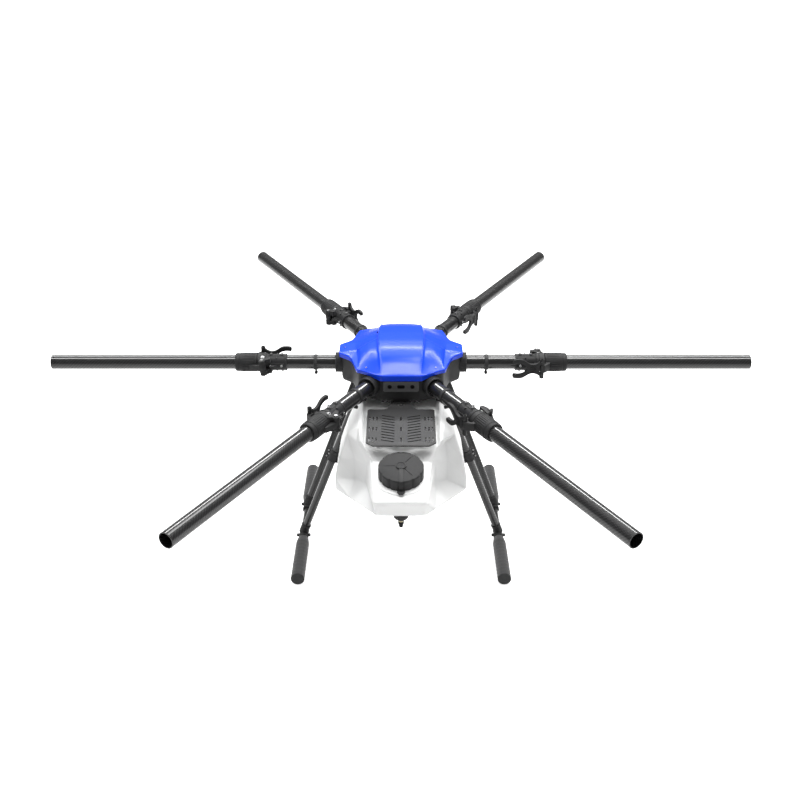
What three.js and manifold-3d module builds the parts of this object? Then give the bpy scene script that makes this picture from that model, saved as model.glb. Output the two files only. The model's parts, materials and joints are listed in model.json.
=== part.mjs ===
// Folding six-arm frame of an agricultural spray drone: hub with a screwed-down cover, six carbon arms
// that fold at a latched hinge, a liquid tank with a screw lid, a battery tray and skid landing gear.
// Millimetres. +Z is up, the ground is z = 0, and the tank's filler side faces -Y.
import * as THREE from "three";
import { mergeVertices } from "three/addons/utils/BufferGeometryUtils.js";
import Module from "manifold-3d";

const wasm = await Module();
wasm.setup();

// ---- Driving dimensions ----
const ARM_COUNT = 6;
const ARM_Z = 483; // height of the arm tubes' centre line
const ARM_END = 870; // hub centre to the open end of an arm tube
const TUBE_R = 17.5; // arm tubes, outside
const TUBE_BORE_R = 15.5;
const FIT = 0.3; // clearance between pieces that fit into each other
const ROUND = 16; // facets of a tube

const SOCKET_OUT = 163; // mouth of the hub's arm socket
const SOCKET_R = 25;
const ROOT_START = 108;
const ROOT_END = 330;
const CLIP_X = 208; // cable clip on the root tube
const CLIP_WIDTH = 9;
const CLIP_DROP = 32; // lowest point of the clip's tab below the tube's centre
const CLAMP_START = 284;
const CLAMP_R = 20;
const CLAMP_RIB_HALF = 6;
const CLAMP_RIB_R = 22.5;
const FLANGE_START = 335;
const PART_X = 357; // plane where an arm parts when it folds
const COLLAR_R = 23.5;
const COLLAR_END = 412;
const OUTER_START = 364;

const HINGE_X = 341.5; // fold pin, seen along the arm
const HINGE_Y = 31.5;
const HINGE_TILT = THREE.MathUtils.degToRad(6.4); // outwards, so a folded arm passes over its neighbour
const KNUCKLE_R = 8.5;
const EAR_HALF = 7.2; // half height of the outer arm's ear, between the inner knuckles
const KNUCKLE_HALF = 19.5;
const PIN_R = 2.6;
const LATCH_X = 348; // latch pin, on the other side of the arm
const LATCH_Y = -37;
const LATCH_HALF = 25.5;
const LATCH_PIN_R = 2.2;
const LATCH_LUG_HALF = 10;

const COVER_WALL = 2.5;
const HUB_INSET = 5; // hub wall inside the cover's outline
const HUB_BOTTOM = -38;
const HUB_TOP = 27;
const HUB_WALL = 3;

const TRAY_Z = -43; // tray mid-plane, from the arm plane
const TRAY_THICK = 3;
const TRAY_FRONT = -339;
const TRAY_REAR = -170;
const TRAY_HALF = 79;

const TANK_WALL = 3.5;
const FILLER = new THREE.Vector3(0, -390, -89.5); // centre of the filler's seat
const FILLER_TILT = THREE.MathUtils.degToRad(9.5); // the seat leans towards -Y
const LID_R = 50.5;
const LID_HEIGHT = 30.5;
const NECK_R = 40;
const NECK_HEIGHT = 23.5;
const SEAT_R = 58;
const OUTLET_Y = -305;
const OUTLET_R = 17.3;
const OUTLET_END = -282;
const SUMP_Z = -236; // underside of the tank

const SKID_X = 255;
const SKID_Y = -10; // middle of a skid
const SKID_Z = -466;
const SKID_HALF = 257;
const SKID_R = 8;
const FOAM_START = 86;
const FOAM_R = 17;
const LEG_R = 9.5;
const LEG_FOOT = new THREE.Vector3(252, 65, -449); // from above the middle of the skid
const LEG_SOCKET = 16; // part of the leg inside its foot
const LEG_TOP_Z = -41;
const LEG_TOP_FRONT = new THREE.Vector2(106, -113);
const LEG_TOP_REAR = new THREE.Vector2(96, 110);
const LEG_CLAMP_FROM = 0.385; // share of the leg's length
const LEG_CLAMP_TO = 0.455;

// ---- Solids ----
function outward(geometry) {
  const position = geometry.attributes.position;
  const index = geometry.index.array;
  const a = new THREE.Vector3();
  const b = new THREE.Vector3();
  const c = new THREE.Vector3();
  let volume = 0;
  for (let i = 0; i < index.length; i += 3) {
    a.fromBufferAttribute(position, index[i]);
    b.fromBufferAttribute(position, index[i + 1]);
    c.fromBufferAttribute(position, index[i + 2]);
    volume += a.dot(b.cross(c));
  }
  if (volume < 0) {
    geometry.index.array.reverse();
  }
  return geometry;
}

// Position-only geometry with shared vertices and its faces pointing out.
function closed(geometry) {
  geometry.deleteAttribute("normal");
  geometry.deleteAttribute("uv");
  return outward(mergeVertices(geometry, 1e-4));
}

function toSolid(geometry) {
  const mesh = new wasm.Mesh({
    numProp: 3,
    vertProperties: new Float32Array(geometry.attributes.position.array),
    triVerts: new Uint32Array(geometry.index.array),
  });
  return new wasm.Manifold(mesh);
}

function fromSolid(solid) {
  const mesh = solid.getMesh();
  const geometry = new THREE.BufferGeometry();
  geometry.setAttribute("position", new THREE.BufferAttribute(mesh.vertProperties, 3));
  geometry.setIndex(new THREE.BufferAttribute(mesh.triVerts, 1));
  return geometry;
}

function join(...pieces) {
  return fromSolid(pieces.map(toSolid).reduce((sum, piece) => sum.add(piece)));
}

function cut(body, ...tools) {
  return fromSolid(tools.map(toSolid).reduce((rest, tool) => rest.subtract(tool), toSolid(body)));
}

// Box between two opposite corners.
function box(x0, x1, y0, y1, z0, z1) {
  const geometry = new THREE.BoxGeometry(x1 - x0, y1 - y0, z1 - z0);
  geometry.translate((x0 + x1) / 2, (y0 + y1) / 2, (z0 + z1) / 2);
  return closed(geometry);
}

// Solid of revolution about Z from [radius, z] points. A profile that is off the axis closes on itself.
function lathe(profile, segments = ROUND) {
  const points = profile.map(([radius, z]) => new THREE.Vector2(radius, z));
  if (profile[0][0] > 0) {
    points.push(points[0].clone());
  }
  const geometry = new THREE.LatheGeometry(points, segments, Math.PI / segments);
  geometry.rotateX(Math.PI / 2);
  return closed(geometry);
}

function rod(radius, z0, z1, segments = ROUND) {
  return lathe([[0, z0], [radius, z0], [radius, z1], [0, z1]], segments);
}

function pipe(outer, inner, z0, z1, segments = ROUND) {
  return lathe([[inner, z0], [outer, z0], [outer, z1], [inner, z1]], segments);
}

function alongX(geometry) {
  return geometry.rotateY(Math.PI / 2);
}

function alongY(geometry) {
  return geometry.rotateX(-Math.PI / 2);
}

// Plate of a given outline in the XY plane, from z0 up to z1.
function plate(outline, z0, z1, holes = []) {
  const shape = new THREE.Shape(outline.map(([x, y]) => new THREE.Vector2(x, y)));
  shape.holes = holes.map((hole) => new THREE.Path(hole.map(([x, y]) => new THREE.Vector2(x, y))));
  const depth = z1 - z0;
  const geometry = new THREE.ExtrudeGeometry(shape, { depth, bevelEnabled: false, curveSegments: 6 });
  geometry.translate(0, 0, z0);
  return closed(geometry);
}

// Body with mirror symmetry in x, skinned through levels from the bottom up. Each level lists its
// right-hand corners [x, y, z] in order of y, and both end caps are ruled across from side to side.
function mirroredLoft(levels) {
  const side = levels[0].length;
  const ring = side * 2;
  const vertices = [];
  for (const level of levels) {
    level.forEach(([x, y, z]) => vertices.push(x, y, z));
    [...level].reverse().forEach(([x, y, z]) => vertices.push(-x, y, z));
  }
  const index = [];
  for (let level = 0; level + 1 < levels.length; level += 1) {
    for (let i = 0; i < ring; i += 1) {
      const a = level * ring + i;
      const b = level * ring + ((i + 1) % ring);
      index.push(a, b, b + ring, a, b + ring, a + ring);
    }
  }
  const top = (levels.length - 1) * ring;
  for (let i = 0; i + 1 < side; i += 1) {
    const mirror = ring - 1 - i;
    index.push(i, mirror, mirror - 1, i, mirror - 1, i + 1);
    index.push(top + i, top + i + 1, top + mirror - 1, top + i, top + mirror - 1, top + mirror);
  }
  const geometry = new THREE.BufferGeometry();
  geometry.setAttribute("position", new THREE.Float32BufferAttribute(vertices, 3));
  geometry.setIndex(index);
  return outward(geometry);
}

// Moves each edge of a right-hand half outline inwards by the same distance.
function inset(half, distance) {
  const count = half.length;
  return half.map((point, i) => {
    const before = i > 0 ? half[i - 1] : [-half[0][0], half[0][1]];
    const after = i + 1 < count ? half[i + 1] : [-half[count - 1][0], half[count - 1][1]];
    const u = new THREE.Vector2(point[0] - before[0], point[1] - before[1]).normalize();
    const v = new THREE.Vector2(after[0] - point[0], after[1] - point[1]).normalize();
    const spread = distance / (1 + u.dot(v));
    return [point[0] - (u.y + v.y) * spread, point[1] + (u.x + v.x) * spread];
  });
}

function material(color, roughness, metalness = 0) {
  return new THREE.MeshStandardMaterial({ color, roughness, metalness });
}

const blueGloss = () => material(0x1e5fff, 0.22);
const darkPlastic = () => material(0x3c3c3c, 0.55);
const carbon = () => material(0x1c1c1c, 0.25, 0.1);
const rootBlack = () => material(0x2a2a2a, 0.35, 0.2);
const steel = () => material(0xb8b8b8, 0.3, 0.9);
const whiteTank = () => material(0xf0f0f0, 0.4);
const blackRubber = () => material(0x1a1a1a, 0.9);
const trayGrey = () => material(0x505050, 0.5);

const drone = new THREE.Group();
const frame = new THREE.Group(); // origin on the arm plane, above the ground
frame.position.z = ARM_Z;
drone.add(frame);

function add(name, geometry, surface, parent = frame) {
  const mesh = new THREE.Mesh(geometry, surface);
  mesh.name = name;
  parent.add(mesh);
  return mesh;
}

// ---- Arm, built along +X; the fold pin is on the +Y side and the latch on the -Y side ----
function rootTube() {
  const clip = alongX(pipe(TUBE_R + 2, TUBE_BORE_R + 1, CLIP_X, CLIP_X + CLIP_WIDTH));
  const tab = box(CLIP_X + 2, CLIP_X + 7, -4, 4, -CLIP_DROP, -TUBE_R + 0.5);
  return join(alongX(pipe(TUBE_R, TUBE_BORE_R, ROOT_START, ROOT_END)), clip, tab);
}

function intoHinge(geometry) {
  geometry.rotateY(HINGE_TILT);
  return geometry.translate(HINGE_X, HINGE_Y, 0);
}

const EAR_GAP = EAR_HALF + 0.5;

// Outline points of a knuckle's round end about the pin.
function knuckleArc(radius, from, to, steps = 5) {
  return Array.from({ length: steps + 1 }, (_, i) => {
    const angle = THREE.MathUtils.degToRad(from + ((to - from) * i) / steps);
    return [radius * Math.cos(angle), radius * Math.sin(angle)];
  });
}

function pinHole(radius) {
  return knuckleArc(radius, 0, -315, 7);
}

function armClamp() {
  const sleeve = alongX(pipe(CLAMP_R + 1, TUBE_R + FIT, CLAMP_START, FLANGE_START));
  const flange = alongX(pipe(COLLAR_R, TUBE_BORE_R - 2, FLANGE_START - 1, PART_X - FIT));
  const ribStart = CLAMP_START + 5;
  const ribs = [
    box(ribStart, FLANGE_START, -CLAMP_RIB_HALF, CLAMP_RIB_HALF, -CLAMP_RIB_R, CLAMP_RIB_R),
    box(ribStart, FLANGE_START, -CLAMP_RIB_R, CLAMP_RIB_R, -CLAMP_RIB_HALF, CLAMP_RIB_HALF),
  ];
  const catchLug = box(329, 342, -31.3, -20, -8, 8);
  const outline = [[-20, -14], [12.4, -14], ...knuckleArc(KNUCKLE_R, -30, 180), [-20, -5]];
  const knuckles = [
    intoHinge(plate(outline, EAR_GAP, KNUCKLE_HALF, [pinHole(PIN_R + FIT)])),
    intoHinge(plate(outline, -KNUCKLE_HALF, -EAR_GAP, [pinHole(PIN_R + FIT)])),
  ];
  const tubeBore = alongX(rod(TUBE_R + FIT, CLAMP_START - 1, ROOT_END + 2));
  const wireBore = alongX(rod(TUBE_BORE_R - 2, ROOT_END, PART_X + 1));
  return cut(join(sleeve, flange, ...ribs, catchLug, ...knuckles), tubeBore, wireBore);
}

function foldPin() {
  const bolt = [[0, -23], [PIN_R, -23], [PIN_R, 19.8], [4.5, 19.8], [4.5, 22], [0, 22]];
  return intoHinge(lathe(bolt, 8));
}

function armCollar() {
  const start = PART_X + FIT;
  const profile = [
    [13.5, start],
    [COLLAR_R, start],
    [COLLAR_R, COLLAR_END - 16],
    [21, COLLAR_END],
    [TUBE_R + FIT, COLLAR_END],
    [TUBE_R + FIT, OUTER_START - FIT],
    [13.5, OUTER_START - FIT],
  ];
  const shell = alongX(lathe(profile));
  const earOutline = [...knuckleArc(KNUCKLE_R - 1, 60, 255), [15.9, -8], [34, -11], [34, -6]];
  const ear = intoHinge(plate(earOutline, -EAR_HALF, EAR_HALF, [pinHole(PIN_R + FIT)]));
  const lugOutline = [[-5, -2], [-3, -4.5], [6, -4.5], [20, 10], [20, 18], [10.5, 18], [10.5, 8], [-5, 8]];
  const lug = plate(lugOutline, -LATCH_LUG_HALF, LATCH_LUG_HALF, [pinHole(LATCH_PIN_R + FIT)]);
  return join(shell, ear, lug.translate(LATCH_X, LATCH_Y, 0));
}

function outerTube() {
  return alongX(pipe(TUBE_R, TUBE_BORE_R, OUTER_START, ARM_END));
}

// Fishtail lever in the plane of the arm: two knuckles on its pin and two curved prongs.
function latchLever() {
  const half = [
    [LATCH_X + 3, LATCH_HALF],
    [LATCH_X - 4, LATCH_HALF],
    [339, 16],
    [326, 12],
    [316, 14],
    [306, 21],
    [298, 25],
    [286, 25.5],
    [275, 23],
    [275, 13],
    [288, 14],
    [298, 12.5],
    [308, 6],
    [312, 0],
  ];
  const mirrored = half.slice(0, -1).reverse().map(([x, z]) => [x, -z]);
  const blade = plate([...half, ...mirrored], -3.5, 3.5);
  blade.rotateX(Math.PI / 2);
  blade.translate(0, LATCH_Y, 0);
  const lugSpace = box(
    LATCH_X - 6.5,
    LATCH_X + 10,
    LATCH_Y - 6,
    LATCH_Y + 10,
    -LATCH_LUG_HALF - 0.4,
    LATCH_LUG_HALF + 0.4
  );
  const pin = rod(LATCH_PIN_R, -LATCH_HALF + 1, LATCH_HALF - 1, 8).translate(LATCH_X, LATCH_Y, 0);
  return join(cut(blade, lugSpace), pin);
}

const armShapes = {
  arm_root_tube: [rootTube(), rootBlack],
  arm_clamp: [armClamp(), darkPlastic],
  fold_pin: [foldPin(), steel],
  arm_collar: [armCollar(), darkPlastic],
  arm_tube: [outerTube(), carbon],
  arm_latch: [latchLever(), darkPlastic],
};
for (let i = 0; i < ARM_COUNT; i += 1) {
  const arm = new THREE.Group();
  arm.rotation.z = (i * 2 * Math.PI) / ARM_COUNT;
  frame.add(arm);
  for (const [name, [geometry, surface]] of Object.entries(armShapes)) {
    add(`${name}_${i + 1}`, geometry, surface(), arm);
  }
}

// ---- Hub ----
const COVER_OUTLINE = [
  ...[[50, -143], [106, -112], [123, -48], [152, -24]],
  ...[[152, 24], [123, 48], [106, 112], [50, 143]],
];
const SKIRT_BOTTOM = [18, 25, 25.6, 25.6];
const SKIRT_TOP = [34, 37, 38, 38];
const COVER_SHOULDER = [[58, -84, 66], [99, -72, 51], [106, -24, 50], [122, -14, 44]];
const COVER_CROWN = [[54, -62, 71], [78, -50, 62], [84, -22, 62], [90, -12, 58]];

// Repeats a front-to-side list of four in mirrored order towards the rear.
function frontToRear(list) {
  return [...list, ...[...list].reverse()];
}

function mirrorInY(list) {
  return [...list, ...[...list].reverse().map(([x, y, z]) => [x, -y, z])];
}

function coverLevels(wall) {
  const withHeights = (half, heights, drop) =>
    half.map(([x, y], i) => [x, y, frontToRear(heights)[i] - drop]);
  const narrower = (list) =>
    mirrorInY(list).map(([x, y, z]) => [x - wall, y - Math.sign(y) * wall * 0.7, z - wall]);
  return [
    withHeights(inset(COVER_OUTLINE, wall), SKIRT_BOTTOM, wall ? 20 : 0),
    withHeights(inset(COVER_OUTLINE, 2 + wall), SKIRT_TOP, wall),
    narrower(COVER_SHOULDER),
    narrower(COVER_CROWN),
  ];
}

function socketTools(radius, from, to) {
  return Array.from({ length: ARM_COUNT }, (_, i) =>
    alongX(rod(radius, from, to)).rotateZ((i * 2 * Math.PI) / ARM_COUNT)
  );
}

function topCover() {
  return cut(
    mirroredLoft(coverLevels(0)),
    mirroredLoft(coverLevels(COVER_WALL)),
    ...socketTools(SOCKET_R + 0.5, 130, 200)
  );
}

function atHeight(half, z) {
  return half.map(([x, y]) => [x, y, z]);
}

const legs = [];
for (const side of [1, -1]) {
  for (const [place, top] of [["front", LEG_TOP_FRONT], ["rear", LEG_TOP_REAR]]) {
    const start = new THREE.Vector3(side * top.x, top.y, LEG_TOP_Z);
    const foot = new THREE.Vector3(side * LEG_FOOT.x, SKID_Y + Math.sign(top.y) * LEG_FOOT.y, LEG_FOOT.z);
    legs.push({ name: `${place}_${side > 0 ? "right" : "left"}`, start, foot, side });
  }
}

// Places a solid built along +Z so that its z axis runs from one point towards another.
function aimed(geometry, from, to) {
  const direction = to.clone().sub(from).normalize();
  const turn = new THREE.Quaternion().setFromUnitVectors(new THREE.Vector3(0, 0, 1), direction);
  geometry.applyQuaternion(turn);
  return geometry.translate(from.x, from.y, from.z);
}

function hubShell() {
  const outline = (extra) => inset(COVER_OUTLINE, HUB_INSET + extra);
  const outer = mirroredLoft([
    atHeight(outline(8), HUB_BOTTOM),
    atHeight(outline(0), HUB_BOTTOM + 12),
    atHeight(outline(0), HUB_TOP),
  ]);
  const cavity = mirroredLoft([
    atHeight(outline(8 + HUB_WALL), HUB_BOTTOM + HUB_WALL),
    atHeight(outline(HUB_WALL), HUB_BOTTOM + 13),
    atHeight(outline(HUB_WALL), HUB_TOP + 5),
  ]);
  const bosses = socketTools(SOCKET_R, SOCKET_OUT - 32, SOCKET_OUT);
  const legSockets = legs.map(({ start, foot }) => aimed(rod(13, -16, 34, 12), start, foot));
  const shell = cut(join(outer, ...legSockets, ...bosses), cavity);
  const tubeBores = socketTools(TUBE_R + FIT, 90, SOCKET_OUT + 1);
  const legBores = legs.map(({ start, foot }) => aimed(rod(LEG_R + FIT, -FIT, 40, 16), start, foot));
  const above = box(-140, 140, -140, 140, HUB_TOP, HUB_TOP + 60);
  return cut(shell, ...tubeBores, ...legBores, above);
}

function frontPanel() {
  const face = -143 + HUB_INSET - 0.3;
  const rounded = new THREE.Shape();
  const [w, h, r] = [42.5, 13.5, 4];
  rounded.absarc(w - r, h - r, r, 0, Math.PI / 2);
  rounded.absarc(-w + r, h - r, r, Math.PI / 2, Math.PI);
  rounded.absarc(-w + r, -h + r, r, Math.PI, Math.PI * 1.5);
  rounded.absarc(w - r, -h + r, r, Math.PI * 1.5, Math.PI * 2);
  const shell = new THREE.ExtrudeGeometry(rounded, { depth: 3, bevelEnabled: false, curveSegments: 3 });
  const ports = [-27, 27].map((x) => rod(4.5, 1, 5, 12).translate(x, 0, 0));
  const slot = box(-8, 8, -3.5, 3.5, 1, 5);
  const panel = cut(closed(shell), ...ports, slot);
  panel.rotateX(Math.PI / 2);
  return panel.translate(0, face, 3);
}

add("top_cover", topCover(), blueGloss());
add("hub_shell", hubShell(), darkPlastic());
add("front_panel", frontPanel(), darkPlastic());
add("power_board", box(-62, 62, -55, 55, HUB_BOTTOM + 7, HUB_BOTTOM + 9), material(0x1f5c2e, 0.5));
add("flight_controller", box(-40, 40, -28, 28, 8, 30), darkPlastic());

// ---- Battery tray ----
function tray() {
  const neckRear = -120;
  const main = [
    [TRAY_HALF, TRAY_FRONT + 14],
    [TRAY_HALF, TRAY_REAR - 5],
    [TRAY_HALF - 5, TRAY_REAR],
    [-TRAY_HALF + 5, TRAY_REAR],
    [-TRAY_HALF, TRAY_REAR - 5],
    [-TRAY_HALF, TRAY_FRONT + 14],
    [-TRAY_HALF + 16, TRAY_FRONT],
    [TRAY_HALF - 16, TRAY_FRONT],
  ];
  const neck = [[40, TRAY_REAR - 4], [35, TRAY_REAR + 3], [23, TRAY_REAR + 22], [23, neckRear]];
  const neckOutline = [...neck, ...[...neck].reverse().map(([x, y]) => [-x, y])];
  const low = TRAY_Z - TRAY_THICK / 2;
  const plates = join(plate(main, low, low + TRAY_THICK), plate(neckOutline, low, low + TRAY_THICK - 0.8));
  const slots = [];
  for (const y of [-312, -264, -216]) {
    for (const x of [0, 56, 64, 72, -56, -64, -72]) {
      slots.push(box(x - 1.8, x + 1.8, y - 9, y + 9, low - 1, low + 5));
    }
  }
  const louvres = [];
  for (let row = 0; row < 10; row += 1) {
    for (const side of [1, -1]) {
      const slot = box(-16, 16, -1.8, 1.8, low - 1, low + 5);
      slot.rotateZ(side * 0.3);
      louvres.push(slot.translate(side * 30, -318 + row * 12.5, 0));
    }
  }
  return cut(plates, ...slots, ...louvres);
}

add("battery_tray", tray(), trayGrey());

// ---- Tank ----
function sumpFloor([x, y]) {
  return [x, y, SUMP_Z];
}

// Half outlines from the rear to the filler nose, bottom level first.
const TANK_LEVELS = [
  [[45, -225], [56, -240], [60, -275], [61, -310], [56, -324], [46, -328], [34, -329]].map(sumpFloor),
  [
    ...[[88, -58, -213], [112, -88, -213], [136, -180, -213], [138, -250, -213]],
    ...[[110, -292, -208], [70, -345, -203], [45, -372, -198]],
  ],
  [
    ...[[100, -40, -187], [126, -80, -187], [150, -190, -187], [153, -290, -187]],
    ...[[119, -341, -178], [75, -406, -167], [55, -435, -162]],
  ],
  [
    ...[[100, -40, -158], [126, -80, -158], [150, -190, -158], [153, -290, -158]],
    ...[[106, -293, -158], [79, -321, -150], [60, -470, -110]],
  ],
  [
    ...[[96, -48, -96], [122, -86, -104], [142, -185, -108], [143, -274, -112]],
    ...[[107, -283, -112], [77, -319, -104], [58, -468, -105]],
  ],
  [
    ...[[88, -56, -58], [112, -96, -62], [125, -170, -64], [125, -245, -66]],
    ...[[102, -272, -68], [70, -330, -84], [56, -462, -102.4]],
  ],
  [
    ...[[76, -64, -47], [98, -104, -47], [98, -170, -47], [98, -240, -47]],
    ...[[91, -300, -52], [62, -345, -82.9], [52, -457, -101.7]],
  ],
];
const tankFront = -280; // the filler nose lies in front of this
const tankMiddle = -180;

function tankLoft(wall) {
  const levels = TANK_LEVELS.map((level, i) => {
    const lift = i < 2 ? wall : i > 4 ? -wall : 0;
    return level.map(([x, y, z]) => {
      const inwards = y < tankFront ? 1 : -Math.sign(y - tankMiddle);
      return [x - wall, y + wall * inwards, z + lift];
    });
  });
  return mirroredLoft(levels);
}

function trayRecess(grow) {
  const half = 84 + grow;
  const flare = 18;
  const floor = -60 - grow;
  const front = -330 - grow;
  return mirroredLoft([
    [[half, front, floor], [half, -80 + grow, floor]],
    [[half + flare, front - 4, -30], [half + flare, -60 + grow, -30]],
  ]);
}

function ontoFiller(geometry) {
  geometry.rotateX(FILLER_TILT);
  return geometry.translate(FILLER.x, FILLER.y, FILLER.z);
}

// Hollows in the shoulders that clear the front legs and their sockets.
function legReliefs(grow) {
  const front = legs.filter(({ start }) => start.y < 0);
  return front.map(({ start, foot }) => aimed(rod(17 + grow, -20, 150, 12), start, foot));
}

function tank() {
  const outer = cut(tankLoft(0), trayRecess(0), ...legReliefs(0));
  const seat = ontoFiller(lathe([[0, -6], [SEAT_R, -6], [SEAT_R, 0], [SEAT_R - 3, 1.5], [0, 1.5]], 24));
  const neck = ontoFiller(rod(NECK_R, 0, NECK_HEIGHT, 24));
  const cavity = cut(tankLoft(TANK_WALL), trayRecess(TANK_WALL), ...legReliefs(TANK_WALL));
  const fillerBore = ontoFiller(rod(NECK_R - TANK_WALL, -12, NECK_HEIGHT + 2, 24));
  const drain = rod(5, SUMP_Z - 2, SUMP_Z + 8, 12).translate(0, OUTLET_Y, 0);
  return cut(join(outer, seat, neck), cavity, fillerBore, drain);
}

// Twelve shallow grips around the rim.
function lidOutline() {
  return Array.from({ length: 24 }, (_, i) => {
    const angle = (i / 24) * 2 * Math.PI;
    const radius = LID_R - 0.7 - 0.7 * Math.cos(12 * angle);
    return [radius * Math.cos(angle), radius * Math.sin(angle)];
  });
}

function tankLid() {
  const rim = LID_HEIGHT - 4;
  const wall = plate(lidOutline(), 2.2, rim);
  const crown = lathe([[0, rim - 5], [47, rim - 5], [49, rim], [44, LID_HEIGHT - 1], [0, LID_HEIGHT]]);
  const boss = rod(12, rim - 3, LID_HEIGHT + 2.5, 12);
  const strap = box(-4.5, 4.5, -LID_R - 2, -10, LID_HEIGHT - 6, LID_HEIGHT + 1.2);
  const drop = box(-4.5, 4.5, -LID_R - 5, -LID_R + 2, 5, LID_HEIGHT - 2);
  const tab = plate([[-8, -53], [8, -53], [8, -60], [4, -65], [-4, -65], [-8, -60]], 3.5, 8);
  const inside = rod(43.5, 0, rim - 0.5, 24);
  return ontoFiller(cut(join(wall, crown, boss, strap, drop, tab), inside));
}

function outlet() {
  const profile = [
    [3.5, OUTLET_END],
    [4.5, OUTLET_END],
    [5.5, OUTLET_END + 4],
    [5.5, OUTLET_END + 18],
    [8, OUTLET_END + 20],
    [OUTLET_R, OUTLET_END + 28],
    [OUTLET_R, SUMP_Z - FIT],
    [3.5, SUMP_Z - FIT],
  ];
  return lathe(profile).translate(0, OUTLET_Y, 0);
}

add("tank", tank(), whiteTank());
add("tank_lid", tankLid(), darkPlastic());
const gasket = pipe(42.5, 37, NECK_HEIGHT + FIT, NECK_HEIGHT + 2.2, 24);
add("lid_gasket", ontoFiller(gasket), blackRubber());
add("tank_outlet", outlet(), darkPlastic());

// ---- Landing gear ----
function skidPipe(outer, inner, from, to) {
  return alongY(pipe(outer / Math.cos(Math.PI / 16), inner / Math.cos(Math.PI / 16), from, to, 16));
}

function legTube({ start, foot, side }) {
  const length = start.distanceTo(foot);
  const tube = aimed(rod(LEG_R, 0, length, 16), start, foot);
  const socket = aimed(rod(12, length - LEG_SOCKET, length + 12, 16), start, foot);
  const centre = new THREE.Vector3(side * SKID_X, foot.y, SKID_Z);
  const saddle = alongY(rod(12.5, -18, 18, 16)).translate(centre.x, centre.y, centre.z);
  const skidBore = alongY(rod(SKID_R + 2 * FIT, -30, 30, 16)).translate(centre.x, centre.y, centre.z);
  return cut(join(tube, socket, saddle), skidBore);
}

function legClamp({ start, foot, side }) {
  const length = start.distanceTo(foot);
  const from = length * LEG_CLAMP_FROM;
  const to = length * LEG_CLAMP_TO;
  const sleeve = aimed(rod(13.5, from, to, 16), start, foot);
  const middle = start.clone().lerp(foot, (LEG_CLAMP_FROM + LEG_CLAMP_TO) / 2);
  const flapFrom = side > 0 ? -21 : 0;
  const flap = aimed(box(flapFrom, flapFrom + 21, -6, 6, from, to), start, foot);
  const padFrom = side > 0 ? middle.x - 21 : middle.x + 4;
  const pad = box(padFrom, padFrom + 17, middle.y - 12, middle.y + 12, middle.z - 15, middle.z + 12);
  const bore = aimed(rod(LEG_R + FIT, from - 10, to + 10, 16), start, foot);
  return cut(join(sleeve, flap, pad), bore);
}

for (const leg of legs) {
  add(`leg_${leg.name}`, legTube(leg), carbon());
  add(`leg_clamp_${leg.name}`, legClamp(leg), darkPlastic());
}

for (const [name, side] of [["right", 1], ["left", -1]]) {
  const skid = new THREE.Group();
  skid.position.set(side * SKID_X, SKID_Y, SKID_Z);
  frame.add(skid);
  add(`skid_${name}`, skidPipe(SKID_R, SKID_R - 1.5, -SKID_HALF + 4, SKID_HALF - 4), carbon(), skid);
  for (const [place, end] of [["front", -1], ["rear", 1]]) {
    const rim = FOAM_R / Math.cos(Math.PI / 16);
    const bore = (SKID_R + FIT) / Math.cos(Math.PI / 16);
    const profile = [
      [bore, FOAM_START],
      [rim, FOAM_START],
      [rim, SKID_HALF - 3],
      [rim - 4, SKID_HALF],
      [0, SKID_HALF],
      [0, SKID_HALF - 3.5],
      [bore, SKID_HALF - 3.5],
      [bore, FOAM_START],
    ];
    const points = profile.map(([radius, y]) => new THREE.Vector2(radius, y));
    const sleeve = closed(new THREE.LatheGeometry(points, 16, Math.PI / 16));
    if (end < 0) {
      sleeve.rotateZ(Math.PI);
    }
    add(`foam_${place}_${name}`, sleeve, blackRubber(), skid);
  }
}

export default drone;
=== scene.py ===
"""Looks of the folding spray drone frame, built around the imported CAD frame.

Shapes are written in millimetres, relative to the arm plane, and scaled to metres as each piece is made.
"""

import json
import math

import bmesh
import bpy
from mathutils import Matrix, Vector
from mathutils.bvhtree import BVHTree


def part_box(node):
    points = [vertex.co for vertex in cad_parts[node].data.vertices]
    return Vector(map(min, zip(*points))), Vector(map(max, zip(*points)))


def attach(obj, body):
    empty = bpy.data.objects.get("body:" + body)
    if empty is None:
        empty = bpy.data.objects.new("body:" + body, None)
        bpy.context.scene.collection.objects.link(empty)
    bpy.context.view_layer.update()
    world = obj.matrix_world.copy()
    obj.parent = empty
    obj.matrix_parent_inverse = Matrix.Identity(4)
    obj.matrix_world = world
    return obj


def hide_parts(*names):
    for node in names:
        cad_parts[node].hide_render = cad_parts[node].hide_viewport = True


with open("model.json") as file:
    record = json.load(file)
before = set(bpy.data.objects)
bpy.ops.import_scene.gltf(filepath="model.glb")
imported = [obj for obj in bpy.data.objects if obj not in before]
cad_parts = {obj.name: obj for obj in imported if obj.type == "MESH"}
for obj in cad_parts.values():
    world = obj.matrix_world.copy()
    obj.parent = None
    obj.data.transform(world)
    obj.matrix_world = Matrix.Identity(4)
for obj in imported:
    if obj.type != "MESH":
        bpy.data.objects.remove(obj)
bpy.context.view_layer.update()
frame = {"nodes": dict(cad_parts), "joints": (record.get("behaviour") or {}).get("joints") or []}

MM = 0.001


def mm_box(node):
    low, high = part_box(node)
    return [value / MM for value in low], [value / MM for value in high]


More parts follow.
